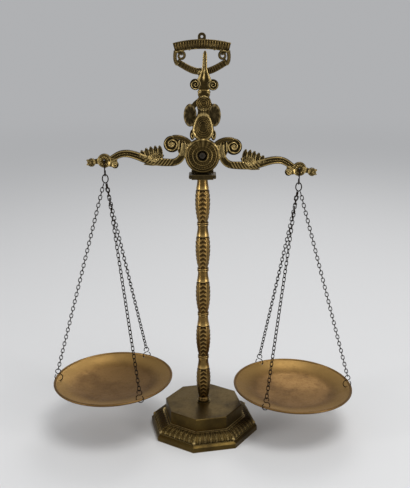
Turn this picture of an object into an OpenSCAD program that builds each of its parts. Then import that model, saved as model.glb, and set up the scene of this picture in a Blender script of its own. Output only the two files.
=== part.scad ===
// Double pan balance: an ornate cast beam on a baluster column, with two dished pans on chains.
// Millimetres, +Z up, origin at the middle of the base's underside, the front faces -Y.
// The beam rests a little down on the right, and everything that hangs from it hangs plumb.

/* [Base] */
// Width of the lower tier across its flats
base_w = 127.5; // [120:0.5:136]
// Height of the lower tier, floor to the top of its flare
skirt_h = 18; // [16:0.5:20]
// Height of the plain moulding on the floor
foot_h = 8.5; // [7:0.5:10]
// Width of the plinth across its flats
plinth_w = 91.5; // [84:0.5:98]
// Height of the plinth
plinth_h = 16.5; // [14:0.5:19]
// Wall thickness of both tiers
base_wall = 3; // [2:0.5:4]
// Turn of the octagon about the column, degrees
base_turn = -10.5; // [-22.5:0.5:22.5]

/* [Column] */
// Height of one baluster segment
seg_h = 57.7; // [52:0.1:64]
// Diameter of a segment's bulb
bulb_d = 18.4; // [17:0.2:20]
// Diameter of the double ring under a bulb
ring_d = 14; // [13.4:0.1:16]
// Diameter of the lip under a collar
lip_d = 15.2; // [13.7:0.1:16.7]
// Diameter of the neck above a collar
neck_d = 12.4; // [11.6:0.1:13.2]
// Height of a collar, ring to lip
collar_h = 12.5; // [10:0.5:15]
// Thickness of the round foot between column and plinth
foot_ring_h = 3; // [2:0.5:5]
// Diameter of the tie rod through the column
rod_d = 5; // [4:0.5:6]

/* [Capital and rear bracket] */
// Length of the crossbar on top of the column
capital_w = 32; // [28:0.5:38]
// Height of the crossbar
capital_h = 5.5; // [5:0.5:8]
// Thickness of the rear bracket and of the index frame
plate_t = 4; // [3:0.5:5]
// Height of the index frame's foot above the pivot
frame_rise = 91.5; // [88:0.5:96]
// Inside radius of the graduated arch about the pivot
arch_r = 120.5; // [118:0.5:126]
// Width of the graduated band
arch_band = 10.8; // [8:0.1:13]
// Half angle of the arch, degrees
arch_half = 14.5; // [12:0.5:17]
// Number of graduations
tick_count = 21; // [11:2:31]

/* [Beam] */
// Diameter of the medallion round the pivot
medallion_d = 40.6; // [36:0.2:44]
// Thickness of the medallion
hub_t = 7; // [6:0.5:8]
// Thickness of the arms
arm_t = 5; // [4:0.5:6]
// Distance from the pivot to the hang hole, along the beam
hang_x = 114; // [108:0.5:120]
// Distance from the pivot down to the hang hole
hang_drop = 11; // [8:0.5:14]
// Diameter of the hang rosette
rosette_d = 16.4; // [14:0.2:18]
// Thickness of the hang rosette
rosette_t = 4; // [3:0.5:5]
// Tilt of the beam at rest, right end down, degrees
beam_tilt = 2.7; // [0:0.1:4]
// Lean of the crest and needle against the beam, degrees
crest_lean = -1; // [-2:0.1:2]
// Diameter of the pivot pin
pin_d = 4; // [3:0.5:5]
// Height of the needle's tip above the pivot
needle_tip = 119; // [114:0.5:119.5]

/* [Suspension] */
// Wire diameter of hook and ring
wire_d = 1.4; // [1.2:0.1:1.6]
// Length of a hook between its wire centres
hook_len = 18; // [14:0.5:24]
// Diameter of the ring at its wire centre
ring_w = 10; // [9:0.5:12]
// Height from the hang hole down to the pan's rim
pan_drop = 279.4; // [260:0.5:300]
// Wire diameter of a chain link
link_wire = 1; // [0.8:0.05:1.1]
// Outside width of a chain link
link_w = 4.6; // [4.3:0.1:5]
// Length of one chain link inside, about
link_inner = 4.9; // [4.7:0.1:6]
// Wire diameter of a rim hook
rim_wire = 1.2; // [1:0.1:1.3]

/* [Pans] */
// Diameter of a pan over its rolled rim
pan_d = 150; // [130:1:156]
// Depth of a pan
pan_depth = 12; // [9:0.5:16]
// Thickness of the sheet
pan_t = 1; // [0.8:0.1:1.5]
// Diameter of the rolled rim
roll_d = 3; // [2.5:0.1:4]
// Distance of the three holes from the outer edge
hole_inset = 6; // [5.5:0.1:8]
// Lean of a pan, outer side down, degrees
pan_lean = 2; // [0:0.5:3]

/* [Clearances] */
// Radial clearance of the beam's bush on its pin
pin_gap = 0.08; // [0.05:0.01:0.1]
// Clearance of parts that are seated or screwed in each other
seat_gap = 0.05; // [0.02:0.01:0.1]
// Clearance of wire that hangs on wire
wire_gap = 0.15; // [0.1:0.01:0.2]
// Running gap between the beam and what stands beside it
run_gap = 0.5; // [0.4:0.1:1]
// Gap under the medallion
medallion_gap = 1.2; // [1:0.1:2]

/* [Hidden] */
$fn = 64;
wire_fn = 40;
fine_fn = 360;
LEFT = -1;
RIGHT = 1;

// Heights of the fixed stack
base_h = skirt_h + plinth_h;
column_z = base_h + foot_ring_h;
capital_z = column_z + 5 * seg_h;
bench_z = capital_z + capital_h;
pivot_z = bench_z + medallion_gap + medallion_d / 2;

// Base details
web_t = 3;
rod_hole_d = rod_d + 2 * seat_gap;
nut_h = 4;
washer_t = 1;
washer_d = 2.8 * rod_d;
rod_end = 1.5;
flare_steps = 10;
foot_edge = 2.5;

// Column details
bore_d = rod_d + 0.4;
bead_d = 2.6;
bead_pitch = 2.4;
bulb_foot_d = 11.8;
bulb_peak = 0.6;
spigot_h = 1.5;
spigot_d = bore_d + 2.4;

// Capital and bracket details
capital_depth = 20;
scroll_end_d = 6.6;
bracket_y = hub_t / 2 + run_gap;
flange_h = 3;
flange_w = 26;
flange_d = 6;
screw_d = 2.5;
screw_head_d = 4.4;
screw_head_h = 1.4;
backplate_d = 32;
post_foot_w = 13;
stem_w = 8;
ear_c = [14, 46];
ear_w = 15;
ear_h = 26;
foot_plate_h = 15;
foot_plate_t = 2.5;
tick_w = 0.8;
tick_depth = 0.5;
eye_d = 9.2;
eye_hole_d = 3;
tang_d = 2.4;
tang_h = 5;

// Beam details
bush_d = pin_d + 3;
recess_d = 8.6;
recess_h = 2;
front_nut_h = 1.3;
rear_nut_h = 2.4;
dowel_d = 3;
dowel_depth = 6;
lobe_w = 6;
lobe_h = 12;
hang_hole_d = 2.2;
hang_hole_drop = 0.2;
rib_w = 1.3;
rib_h = 0.5;

// Suspension details
hook_corner_r = 1.5;
hook_half_y = rosette_t / 2 + 0.35 + wire_d / 2;
hook_gap = 2.4;
outer_off = 1.7;
rear_off = -0.3;
front_off = -1.75;
ring_gap = (wire_d + link_wire) / 2 + wire_gap;
link_reach = 1.05;
rim_hook_r = 2.2;
rim_hook_h = 4.6;
rim_hole_d = rim_wire + 1.2;
rim_curl = 125;
link_play = 0.1;

// Small functions
function unit(v) = v / norm(v);
function lerp(a, b, t) = a + (b - a) * t;
function turn_y(p, a) = [p[0] * cos(a) + p[2] * sin(a), p[1], p[2] * cos(a) - p[0] * sin(a)];
function bezier(p, t) = pow(1 - t, 3) * p[0] + 3 * t * pow(1 - t, 2) * p[1]
    + 3 * t * t * (1 - t) * p[2] + t * t * t * p[3];
function curve(p, n) = [for (i = [0:n]) bezier(p, i / n)];
function spiral(c, r0, r1, a0, a1, n) = [for (i = [0:n])
    c + lerp(r0, r1, i / n) * [cos(lerp(a0, a1, i / n)), sin(lerp(a0, a1, i / n))]];

// A band along a path, whose width runs from w0 over wm in the middle to w1
function across(path, i) = let (n = len(path) - 1,
    d = unit(path[min(i + 1, n)] - path[max(i - 1, 0)])) [-d[1], d[0]];
function width_at(w, t) = lerp(lerp(w[0], w[1], min(1, 2 * t)), w[2], max(0, 2 * t - 1));
function ribbon(path, w, off = 0) = let (n = len(path) - 1) concat(
    [for (i = [0:n]) path[i] + across(path, i) * (off + width_at(w, i / n) / 2)],
    [for (i = [n:-1:0]) path[i] + across(path, i) * (off - width_at(w, i / n) / 2)]);

// Where the suspension hangs: s is LEFT or RIGHT
function hang_point(s) = [0, 0, pivot_z] + turn_y([s * hang_x, 0, -hang_drop], beam_tilt);
function hook_top(s) = hang_point(s) - [0, 0, hang_hole_drop];
function hook_low(s) = hook_top(s) - [0, 0, hook_len];
function ring_centre(s) = hook_low(s) + [0, 0, wire_d + wire_gap - ring_w / 2];
function ring_low(s, off) = ring_centre(s)
    + [s * off, 0, -sqrt(pow(ring_w / 2, 2) - off * off)];
function pan_centre(s) = hang_point(s) - [0, 0, pan_drop];

// A pan's sheet is part of a sphere
bowl_r = (pow(pan_d / 2, 2) + pan_depth * pan_depth) / (2 * pan_depth);
hole_r = pan_d / 2 - hole_inset;
hole_z = bowl_r - pan_depth - sqrt(bowl_r * bowl_r - hole_r * hole_r);

// Places on a pan, turned with its lean; the rim is at z = 0 there
function on_pan(s, p) = pan_centre(s) + turn_y(p, s * pan_lean);
function hook_bearing(az) = [(hole_r - rim_hook_r) * cos(az), (hole_r - rim_hook_r) * sin(az),
    hole_z + rim_hook_h + rim_hook_r - (rim_wire + link_wire) / 2 - link_play];
function azimuth(s, k) = (s == RIGHT ? 0 : 180) + k * 120;

// Outline of a tier of the base over half its width, walls moved in by w
function flare(w) = [for (i = [0:flare_steps])
    [lerp(plinth_w / 2 + 0.8, base_w / 2 - 4, cos(90 * i / flare_steps)) - w,
     lerp(foot_h, skirt_h, sin(90 * i / flare_steps))]];

// A solid with eight equal sides, mitred from one upright outline
module octagon() {
    intersection_for (k = [0:3]) rotate([0, 0, base_turn + 22.5 + 45 * k]) rotate([90, 0, 0])
        linear_extrude(height = 2 * base_w, center = true) children();
}

// An outline given for x > 0, with its mirror image
module both_halves(points) {
    polygon(concat(points, [for (i = [len(points) - 1:-1:0]) [-points[i][0], points[i][1]]]));
}

module base_skirt() color("#4a3a1c") difference() {
    octagon() both_halves(concat(
        [[base_w / 2, 0], [base_w / 2, foot_h - foot_edge], [base_w / 2 - 1.5, foot_h - 1.2],
         [base_w / 2 - 3, foot_h]], flare(0)));
    octagon() both_halves(concat(
        [[base_w / 2 - base_wall, -1], [base_w / 2 - base_wall, foot_h - foot_edge - 1]],
        [for (p = flare(base_wall)) if (p[1] < skirt_h - web_t) p],
        [[plinth_w / 2 + 0.8 - base_wall, skirt_h - web_t]]));
    cylinder(d = rod_hole_d, h = skirt_h + 1);
}

module base_plinth() color("#5a4420") difference() {
    translate([0, 0, skirt_h]) octagon() both_halves(
        [[plinth_w / 2, 0], [plinth_w / 2, plinth_h - 0.8], [plinth_w / 2 - 0.8, plinth_h]]);
    translate([0, 0, skirt_h]) octagon() both_halves(
        [[plinth_w / 2 - base_wall, -1], [plinth_w / 2 - base_wall, plinth_h - base_wall]]);
    cylinder(d = rod_hole_d, h = base_h + 1);
}

module column_foot() color("#8a6a2c") translate([0, 0, base_h]) difference() {
    union() {
        cylinder(d = ring_d + 3, h = foot_ring_h / 2);
        cylinder(d = ring_d, h = foot_ring_h);
    }
    translate([0, 0, -1]) cylinder(d = bore_d, h = foot_ring_h + 2);
}

// One baluster segment from its double ring up: bulb, collar and neck, with a spigot on top
module column_segment(k) {
    ring_h = 2 * bead_pitch;
    bulb_h = seg_h - ring_h - collar_h;
    swell = (bulb_d - bulb_foot_d) / 2;
    bulb_r = (pow(bulb_peak * bulb_h, 2) + swell * swell) / (2 * swell);
    cove_h = collar_h - 1;
    cove_d = (lip_d - neck_d) / 2;
    cove_r = (cove_h * cove_h + cove_d * cove_d) / (2 * cove_d);
    color("#a07c34") translate([0, 0, column_z + (k - 1) * seg_h]) difference() {
        union() {
            rotate_extrude() union() {
                square([neck_d / 2, seg_h]);
                intersection() {
                    for (i = [0, 1]) translate([(ring_d - bead_d) / 2, (i + 0.5) * bead_pitch])
                        circle(d = bead_d);
                    square([ring_d, 2 * ring_h]);
                }
                translate([0, ring_h]) intersection() {
                    translate([bulb_d / 2 - bulb_r, bulb_h * bulb_peak]) circle(r = bulb_r, $fn = fine_fn);
                    square([bulb_d, bulb_h]);
                }
                translate([0, seg_h - collar_h]) difference() {
                    square([lip_d / 2, cove_h]);
                    translate([neck_d / 2 + cove_r, cove_h]) circle(r = cove_r, $fn = fine_fn);
                }
                if (k == 5) translate([0, seg_h - 2]) square([ring_d / 2, 2]);
            }
            translate([0, 0, seg_h - 0.5]) cylinder(d = spigot_d, h = spigot_h + 0.5);
        }
        translate([0, 0, -1]) cylinder(d = bore_d, h = seg_h + spigot_h + 2);
        translate([0, 0, -1]) cylinder(d = spigot_d + 2 * seat_gap, h = spigot_h + 1.1);
    }
}

module tie_rod() color("silver") translate([0, 0, skirt_h - web_t - washer_t - nut_h - rod_end])
    cylinder(d = rod_d, h = capital_z + capital_h - 2 - skirt_h + web_t + washer_t + nut_h + rod_end);

module tie_rod_washer() color("silver") translate([0, 0, skirt_h - web_t - washer_t]) difference() {
    cylinder(d = washer_d, h = washer_t);
    translate([0, 0, -1]) cylinder(d = rod_hole_d, h = washer_t + 2);
}

module tie_rod_nut() color("silver") translate([0, 0, skirt_h - web_t - washer_t - nut_h]) difference() {
    cylinder(d = 1.8 * rod_d, h = nut_h, $fn = 6);
    translate([0, 0, -1]) cylinder(d = rod_hole_d, h = nut_h + 2);
}

// Crossbar on the column, with a scroll at each end
module capital() color("#7a5f2a") translate([0, 0, capital_z]) difference() {
    union() {
        translate([0, 0, capital_h / 2])
            cube([capital_w - scroll_end_d, capital_depth, capital_h], center = true);
        for (s = [LEFT, RIGHT]) translate([s * (capital_w - scroll_end_d) / 2, 0, scroll_end_d / 2])
            rotate([90, 0, 0]) intersection() {
                cylinder(d = scroll_end_d, h = capital_depth, center = true);
                cube([scroll_end_d + 1, 2 * (capital_h - scroll_end_d / 2), capital_depth], center = true);
            }
    }
    for (s = [LEFT, RIGHT]) translate([s * (capital_w - scroll_end_d) / 2, 0, capital_h / 2])
        rotate([90, 0, 0]) cylinder(d = 2, h = capital_depth + 2, center = true);
    translate([0, 0, -1]) cylinder(d = spigot_d + 2 * seat_gap, h = spigot_h + 1.1);
    translate([0, 0, -1]) cylinder(d = rod_hole_d, h = capital_h - 0.8);
    for (s = [LEFT, RIGHT]) translate([s * bracket_screw_x, bracket_screw_y, 1])
        cylinder(d = screw_d + 2 * seat_gap, h = capital_h);
}
bracket_screw_x = flange_w / 2 - 3;
bracket_screw_y = bracket_y + flange_d / 2;

// Plate in the upright plane behind the beam, from y to y + t
module upright(y, t) {
    translate([0, y + t, 0]) rotate([90, 0, 0]) linear_extrude(height = t) children();
}

// Carries the pivot pin and the index frame, behind the beam
module rear_bracket() color("#5f4a20") difference() {
    union() {
        translate([-flange_w / 2, bracket_y, bench_z]) cube([flange_w, flange_d, flange_h]);
        upright(bracket_y, plate_t) union() {
            translate([0, pivot_z]) circle(d = backplate_d);
            polygon([[-post_foot_w / 2, bench_z + 1], [post_foot_w / 2, bench_z + 1],
                [backplate_d * 0.3, pivot_z], [-backplate_d * 0.3, pivot_z]]);
            translate([-stem_w / 2, pivot_z]) square([stem_w, frame_rise]);
            for (s = [LEFT, RIGHT]) translate([0, pivot_z]) scale([s, 1]) bracket_ear();
        }
    }
    pin_hole(pin_d + 2 * seat_gap);
    frame_screw_places() cylinder(d = screw_d + 2 * seat_gap, h = 40, center = true);
    for (s = [LEFT, RIGHT]) translate([s * bracket_screw_x, bracket_screw_y, bench_z - 1])
        cylinder(d = screw_d + 2 * seat_gap, h = flange_h + 2);
}

// Leafy oval that shows beside the cartouche, with its two stalks, heights counted from the pivot
module bracket_ear() {
    translate(ear_c) polygon([for (i = [0:35]) [ear_w / 2 * cos(10 * i), ear_h / 2 * sin(10 * i)]]);
    polygon(ribbon(curve([[2, 30], [6, 32], [9, 35], [ear_c[0], ear_c[1] - 4]], 8), [7, 7, 6]));
    polygon(ribbon(curve([[2, 63], [6, 61], [10, 58], [ear_c[0], ear_c[1] + 4]], 8), [6, 6, 5]));
}

module pin_hole(d) {
    translate([0, 0, pivot_z]) rotate([90, 0, 0]) cylinder(d = d, h = 60, center = true);
}

module frame_screw_places() {
    for (i = [0, 1]) translate([0, bracket_y + plate_t, pivot_z + frame_rise - 4 - i * 6])
        rotate([-90, 0, 0]) children();
}

module bracket_screws() color("#8a7a50") for (s = [LEFT, RIGHT])
    translate([s * bracket_screw_x, bracket_screw_y, bench_z + flange_h]) {
        translate([0, 0, 2 - flange_h - capital_h]) cylinder(d = screw_d, h = flange_h + capital_h - 2);
        cylinder(d = screw_head_d, h = screw_head_h);
    }

// Lyre that carries the graduated arch, about the pivot
module index_frame() color("#9a7a34") difference() {
    union() {
        upright(bracket_y, plate_t) translate([0, pivot_z]) {
            intersection() {
                difference() {
                    circle(r = arch_r + arch_band, $fn = fine_fn);
                    circle(r = arch_r, $fn = fine_fn);
                }
                polygon([[0, 0], [-2 * arch_r * sin(arch_half), 2 * arch_r * cos(arch_half)],
                    [2 * arch_r * sin(arch_half), 2 * arch_r * cos(arch_half)]]);
            }
            for (s = [LEFT, RIGHT]) scale([s, 1]) frame_half();
            translate([-stem_w / 2 - 1, frame_rise + seat_gap]) square([stem_w + 2, 5]);
        }
        upright(bracket_y + plate_t + seat_gap, foot_plate_t)
            translate([-stem_w / 2, pivot_z + frame_rise - 13])
            square([stem_w, foot_plate_h]);
        upright(bracket_y + plate_t - 1, foot_plate_t + 1)
            translate([-stem_w / 2, pivot_z + frame_rise + 1])
            square([stem_w, 3]);
    }
    frame_screw_places() cylinder(d = screw_d + 2 * seat_gap, h = 40, center = true);
    for (i = [0:tick_count - 1]) translate([0, 0, pivot_z])
        rotate([0, (i / (tick_count - 1) - 0.5) * 2 * (arch_half - 1), 0])
        translate([-tick_w / 2, bracket_y - 1, arch_r + 2]) cube([tick_w, 1 + tick_depth, arch_band - 4]);
    translate([0, bracket_y + plate_t / 2, pivot_z + arch_r + arch_band - tang_h + 0.5])
        cylinder(d = tang_d + 2 * seat_gap, h = tang_h + 2);
}

// Right half of the lyre: foot, diagonal, post and curls, heights counted from the pivot
module frame_half() {
    post_x = (arch_r + 2) * sin(arch_half) - 1;
    post_top = (arch_r + 2) * cos(arch_half);
    post_low = frame_rise + 12;
    post_h = post_top - post_low;
    polygon(ribbon(curve([[0, frame_rise + 4.7], [7, frame_rise + 3.2], [13, frame_rise + 5.5],
        [post_x - 1.2, post_low + 3.2]], 12), [7, 7.6, 7]));
    polygon(ribbon(curve([[post_x - 2, post_low], [post_x + 2, post_low + 0.28 * post_h],
        [post_x + 1, post_low + 0.63 * post_h], [post_x, post_top]], 10), [4.5, 4, 4.5]));
    polygon(ribbon(spiral([post_x - 5.5, post_low + 0.67 * post_h], 5, 2, 15, 300, 20), [2.4, 2.4, 2]));
    for (i = [0, 1]) polygon([[post_x - 5 - 7 * i, post_top + 2.2 + 2 * i],
        [post_x - 9 - 7 * i, post_top - 3 + 1.5 * i],
        [post_x - 12 - 7 * i, post_top + 4.5 + 1.6 * i]]);
}

module frame_screws() color("#8a7a50") frame_screw_places() {
    translate([0, 0, -plate_t]) cylinder(d = screw_d, h = plate_t + seat_gap + foot_plate_t);
    translate([0, 0, seat_gap + foot_plate_t]) cylinder(d = screw_head_d, h = screw_head_h);
}

module top_eye() color("#9a7a34") translate([0, bracket_y + plate_t / 2, pivot_z + arch_r + arch_band]) {
    difference() {
        union() {
            translate([0, 1.5, eye_d * 0.3]) rotate([90, 0, 0]) cylinder(d = eye_d, h = 3);
            translate([-eye_d / 2, -1.5, seat_gap]) cube([eye_d, 3, eye_d * 0.3]);
        }
        translate([0, 0, eye_d * 0.3]) rotate([90, 0, 0]) cylinder(d = eye_hole_d, h = 10, center = true);
        translate([-eye_d, -5, -eye_d + seat_gap]) cube([2 * eye_d, 10, eye_d]);
    }
    translate([0, 0, 1 - tang_h]) cylinder(d = tang_d, h = tang_h - 1 + seat_gap + 0.5);
}

// Pin along Y: the front end lies in the medallion's recess, the rear end carries a nut
module pivot_pin() color("silver") translate([0, -hub_t / 2 + 0.4, pivot_z])
    rotate([-90, 0, 0]) cylinder(d = pin_d, h = hub_t - 0.4 + run_gap + plate_t + rear_nut_h + 0.8);

module pivot_front_nut() color("silver") translate([0, -hub_t / 2 + 0.4, pivot_z])
    rotate([-90, 0, 0]) difference() {
        cylinder(d = recess_d - 2, h = front_nut_h);
        translate([0, 0, -1]) cylinder(d = pin_d + 2 * seat_gap, h = front_nut_h + 2);
    }

module pivot_rear_nut() color("silver") translate([0, bracket_y + plate_t, pivot_z])
    rotate([-90, 0, 0]) difference() {
        cylinder(d = 2 * pin_d, h = rear_nut_h, $fn = 6);
        translate([0, 0, -1]) cylinder(d = pin_d + 2 * seat_gap, h = rear_nut_h + 2);
    }

// Places its children, drawn about the pivot, with the beam's tilt
module on_beam(lean = 0) {
    translate([0, 0, pivot_z]) rotate([0, beam_tilt + lean, 0]) children();
}

// Flat casting about the beam's middle plane
module casting(t) {
    rotate([90, 0, 0]) linear_extrude(height = t, center = true) children();
}

// Centre lines of the right arm, about the pivot
med_r = medallion_d / 2;
scroll_c = [36, 11.9];
scroll_r = 9.6;
neck_path = curve([[12, 10], [19, 18.5], [26, 21.6], [35, 19.4]], 14);
arm_path = concat(curve([[19, 13.5], [20, 3], [24, -9.2], [36, -9.8]], 14),
    [for (i = [1:10]) bezier([[36, -9.8], [46, -10.2], [58, -9.6], [68, -6.5]], i / 10)],
    [for (i = [1:10]) bezier([[68, -6.5], [78, -3], [84, -0.7], [92, -1.7]], i / 10)],
    [for (i = [1:8]) bezier([[92, -1.7], [99, -2.8], [103, -7.4], [108, -10]], i / 8)]);
arm_w = [7.5, 9.4, 7.4];
sheath_path = curve([[48, -10], [55, -12], [61, -13], [68, -13.2]], 8);
curl_c = [101.6, -15.4];
knob_c = [hang_x + 15, -13.8];
function crest_leaf(i) = curve([[50 + 4.9 * i, 0.12 * i * i - 7], [48.8 + 4.9 * i, 0.12 * i * i - 1],
    [49.4 + 5.2 * i, 5 - 0.4 * i * i], [50.5 + 5.2 * i, 9.4 - 0.4 * i * i]], 8);

module arm() {
    polygon(ribbon(arm_path, arm_w));
    polygon(ribbon(neck_path, [7, 5, 4.6]));
    translate(scroll_c) circle(r = scroll_r);
    polygon([[15, 13], [20, 18], [27, 20], [29, 12], [28, 5], [25, 1], [20, 0]]);
    polygon(ribbon(sheath_path, [6, 4.5, 0.6]));
    for (i = [0:4]) polygon(ribbon(crest_leaf(i), [5, 5, 0.7]));
    translate(curl_c) circle(r = 4.2);
    polygon(ribbon([[103, -8], curl_c], [7, 6.5, 6]));
    polygon(ribbon([curl_c, [hang_x - 4, -hang_drop - 3]], [6, 6, 6]));
    polygon(ribbon(curve([[hang_x + 5, -hang_drop - 1], [120, -11.5], [124, -12.5], [127, -13]], 8),
        [8, 5, 5]));
    translate(knob_c) circle(d = 9.8);
    for (z = [3.6, -2.6]) polygon([knob_c + [1, 4.4], knob_c + [6.3, z - 0.6], knob_c + [1, -4.4]]);
}

// Raised edges and rings that run along the arm's bands
module arm_edges() {
    for (e = [-1, 1]) polygon(ribbon(arm_path, [rib_w, rib_w, rib_w], e * 2.7));
    for (r = [scroll_r, scroll_r - 2.8, scroll_r - 5.6]) translate(scroll_c) difference() {
        circle(r = r);
        circle(r = r - rib_w);
    }
    translate(scroll_c) circle(r = 1.8);
    translate([60.4, -4.6]) circle(r = 2.6);
    translate(curl_c) circle(r = 2.4);
    translate(knob_c) circle(r = 3);
}

module beam() color("#a88438") difference() {
    on_beam() {
        difference() {
            union() {
                casting(hub_t) circle(r = med_r);
                for (s = [LEFT, RIGHT]) {
                    casting(arm_t) scale([s, 1]) arm();
                    casting(arm_t + 2 * rib_h) scale([s, 1]) arm_edges();
                }
            }
            for (s = [LEFT, RIGHT]) translate([s * hang_x, 0, -hang_drop]) rotate([90, 0, 0]) difference() {
                cylinder(d = rosette_d + 1.6, h = 20, center = true);
                cylinder(d = rosette_d + 4, h = rosette_t, center = true);
            }
            for (e = [LEFT, RIGHT]) for (r = [med_r - 2.6, med_r * 0.62])
                translate([0, e * (hub_t / 2), 0]) rotate([90, 0, 0]) difference() {
                    cylinder(r = r, h = 1, center = true);
                    cylinder(r = r - 1, h = 2, center = true);
                }
            rotate([90, 0, 0]) cylinder(d = bush_d + 2 * seat_gap, h = hub_t + 2, center = true);
            translate([0, -hub_t / 2 - 1, 0]) rotate([-90, 0, 0]) cylinder(d = recess_d, h = recess_h + 1);
        }
        for (s = [LEFT, RIGHT]) translate([s * hang_x, 0, -hang_drop]) rotate([90, 0, 0])
            cylinder(d = rosette_d, h = rosette_t, center = true);
    }
    on_beam() for (s = [LEFT, RIGHT]) translate([s * hang_x, 0, -hang_drop]) rotate([90, 0, 0])
        cylinder(d = hang_hole_d, h = 20, center = true);
    on_beam(crest_lean) translate([0, 0, med_r - dowel_depth]) cylinder(d = dowel_d + 2 * seat_gap, h = 20);
}

module pivot_bush() color("#b8864a") translate([0, -hub_t / 2 + recess_h, pivot_z])
    rotate([-90, 0, 0]) difference() {
        cylinder(d = bush_d, h = hub_t - recess_h);
        translate([0, 0, -1]) cylinder(d = pin_d + 2 * pin_gap, h = hub_t + 2);
    }

// Pear cartouche, rosette and neck above the medallion
module crest() color("#a88438") difference() {
    on_beam(crest_lean) {
        casting(arm_t) union() {
            translate([0, 27]) circle(d = 25);
            polygon([[-12, 24], [12, 24], [8, med_r - 2], [-8, med_r - 2]]);
            polygon([[-11.6, 32], [11.6, 32], [8, 44], [8, 50], [-8, 50], [-8, 44]]);
            for (s = [LEFT, RIGHT]) translate([s * 12, 24.2]) scale([lobe_w / 2, lobe_h / 2])
                polygon([for (i = [0:23]) [cos(15 * i), sin(15 * i)]]);
            translate([0, 60.5]) circle(d = 18);
            polygon([[-7, 48], [7, 48], [8, 58], [-8, 58]]);
            translate([-7, 66]) square([14, crest_top - 66]);
        }
        casting(arm_t + 1.6) {
            translate([0, 28]) circle(d = 15);
            translate([0, 60.5]) circle(d = 10);
        }
        for (s = [LEFT, RIGHT]) casting(arm_t + 1) translate([s * 5.5, 73]) circle(d = 4);
    }
    translate([0, 0, pivot_z]) rotate([90, 0, 0]) cylinder(r = med_r + seat_gap, h = 20, center = true);
    on_beam(crest_lean) cylinder(d = dowel_d + 2 * seat_gap, h = med_r + dowel_depth);
    on_beam(crest_lean) translate([0, 0, crest_top - dowel_depth])
        cylinder(d = dowel_d + 2 * seat_gap, h = 20);
}
crest_top = 76;

module crest_dowel() color("silver") on_beam(crest_lean)
    translate([0, 0, med_r - dowel_depth + 0.3]) cylinder(d = dowel_d, h = 2 * dowel_depth - 0.6);

// One edge of the needle from its tip down (side 1) or from its foot up (side -1)
function needle_edge(side) = let (edge = [[0.8, needle_tip], [2.2, needle_tip - 1.5], [2.8, needle_tip - 19],
    [4.2, needle_tip - 23.7], [6.2, needle_tip - 27.5], [8, needle_tip - 32], [7.5, crest_top + 6],
    [4, crest_top + seat_gap]], n = len(edge) - 1)
    [for (i = [0:n]) let (p = edge[side > 0 ? i : n - i]) [side * p[0], p[1]]];

// Pointer on its two volutes, with a tang that stands in the crest
module needle() color("#b89040") on_beam(crest_lean) {
    casting(arm_t - 1) union() {
        polygon(concat(needle_edge(1), needle_edge(-1)));
        for (s = [LEFT, RIGHT]) translate([s * 10, crest_top + 5.5]) circle(d = 12.6);
    }
    for (s = [LEFT, RIGHT]) casting(arm_t) translate([s * 10, crest_top + 5.5]) circle(d = 5);
    casting(arm_t) polygon([[-0.7, needle_tip - 8], [0.7, needle_tip - 8], [1.6, crest_top + 8],
        [-1.6, crest_top + 8]]);
    translate([0, 0, crest_top - dowel_depth + 0.5]) cylinder(d = dowel_d, h = dowel_depth + 2);
}

// Wire bent to radius r from angle a0 over a degrees, in the drawing plane
module bend(r, d, a0, a) {
    rotate([0, 0, a0]) rotate_extrude(angle = a, $fn = wire_fn) translate([r, 0])
        circle(d = d, $fn = wire_fn);
}

// Straight wire from p to q in the drawing plane
module rod(d, p, q) {
    translate([p[0], p[1], 0]) rotate([0, 0, atan2(q[1] - p[1], q[0] - p[0])]) rotate([0, 90, 0])
        cylinder(d = d, h = norm(q - p), $fn = wire_fn);
}

// Turns the drawing plane so that its x is Y and its y is Z
module side_on() {
    rotate([90, 0, 90]) children();
}

// Wire shackle through the hang hole: square shoulders, round foot, open at the back
module hook(s) color("#3a2e1c") translate(hook_top(s)) side_on() {
    low = -hook_len + hook_half_y;
    c = hook_half_y - hook_corner_r;
    rod(wire_d, [-c, 0], [c, 0]);
    translate([-c, -hook_corner_r, 0]) bend(hook_corner_r, wire_d, 90, 90);
    translate([c, -hook_corner_r, 0]) bend(hook_corner_r, wire_d, 0, 90);
    rod(wire_d, [-hook_half_y, low], [-hook_half_y, -hook_corner_r]);
    rod(wire_d, [hook_half_y, low], [hook_half_y, low + 3]);
    rod(wire_d, [hook_half_y, low + 3 + hook_gap], [hook_half_y, -hook_corner_r]);
    translate([0, low, 0]) bend(hook_half_y, wire_d, 180, 180);
}

module hang_ring(s) color("#3a2e1c") translate(ring_centre(s)) rotate([90, 0, 0])
    rotate_extrude() translate([ring_w / 2, 0]) circle(d = wire_d, $fn = wire_fn);

// One oval link about its centre, long along Z and wide along Y
module link(inner) {
    r = (link_w - link_wire) / 2;
    half = (inner + link_wire) / 2 - r;
    side_on() for (k = [0, 180]) rotate([0, 0, k]) {
        translate([0, half, 0]) bend(r, link_wire, 0, 180);
        rod(link_wire, [r, -half], [r, half]);
    }
}

// Interlinked chain from the ring at q to the hook on the pan at p; each link is turned a quarter
// against the last, and the whole chain twists so that both its ends hang square
module chain(q, p, az) {
    run = p - q;
    top = ring_gap * link_reach;
    reach = norm(run) - top;
    count = 2 * round((reach / link_inner - 1) / 2) + 1;
    inner = round(1000 * (reach - link_wire + (count - 1) * link_play) / count) / 1000;
    twist = az - 180 * round(az / 180);
    color("#2a2016") translate(q) rotate([0, acos(run[2] / norm(run)), atan2(run[1], run[0])])
        for (i = [0:count - 1]) translate([0, 0, top + (inner + link_wire) / 2 + i * (inner - link_play)])
            rotate([0, 0, 90 * i + twist * (1 - i / (count - 1))]) link(inner);
}

module pan_chain(s, k, off) {
    chain(ring_low(s, off), on_pan(s, hook_bearing(azimuth(s, k))), azimuth(s, k));
}

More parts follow.
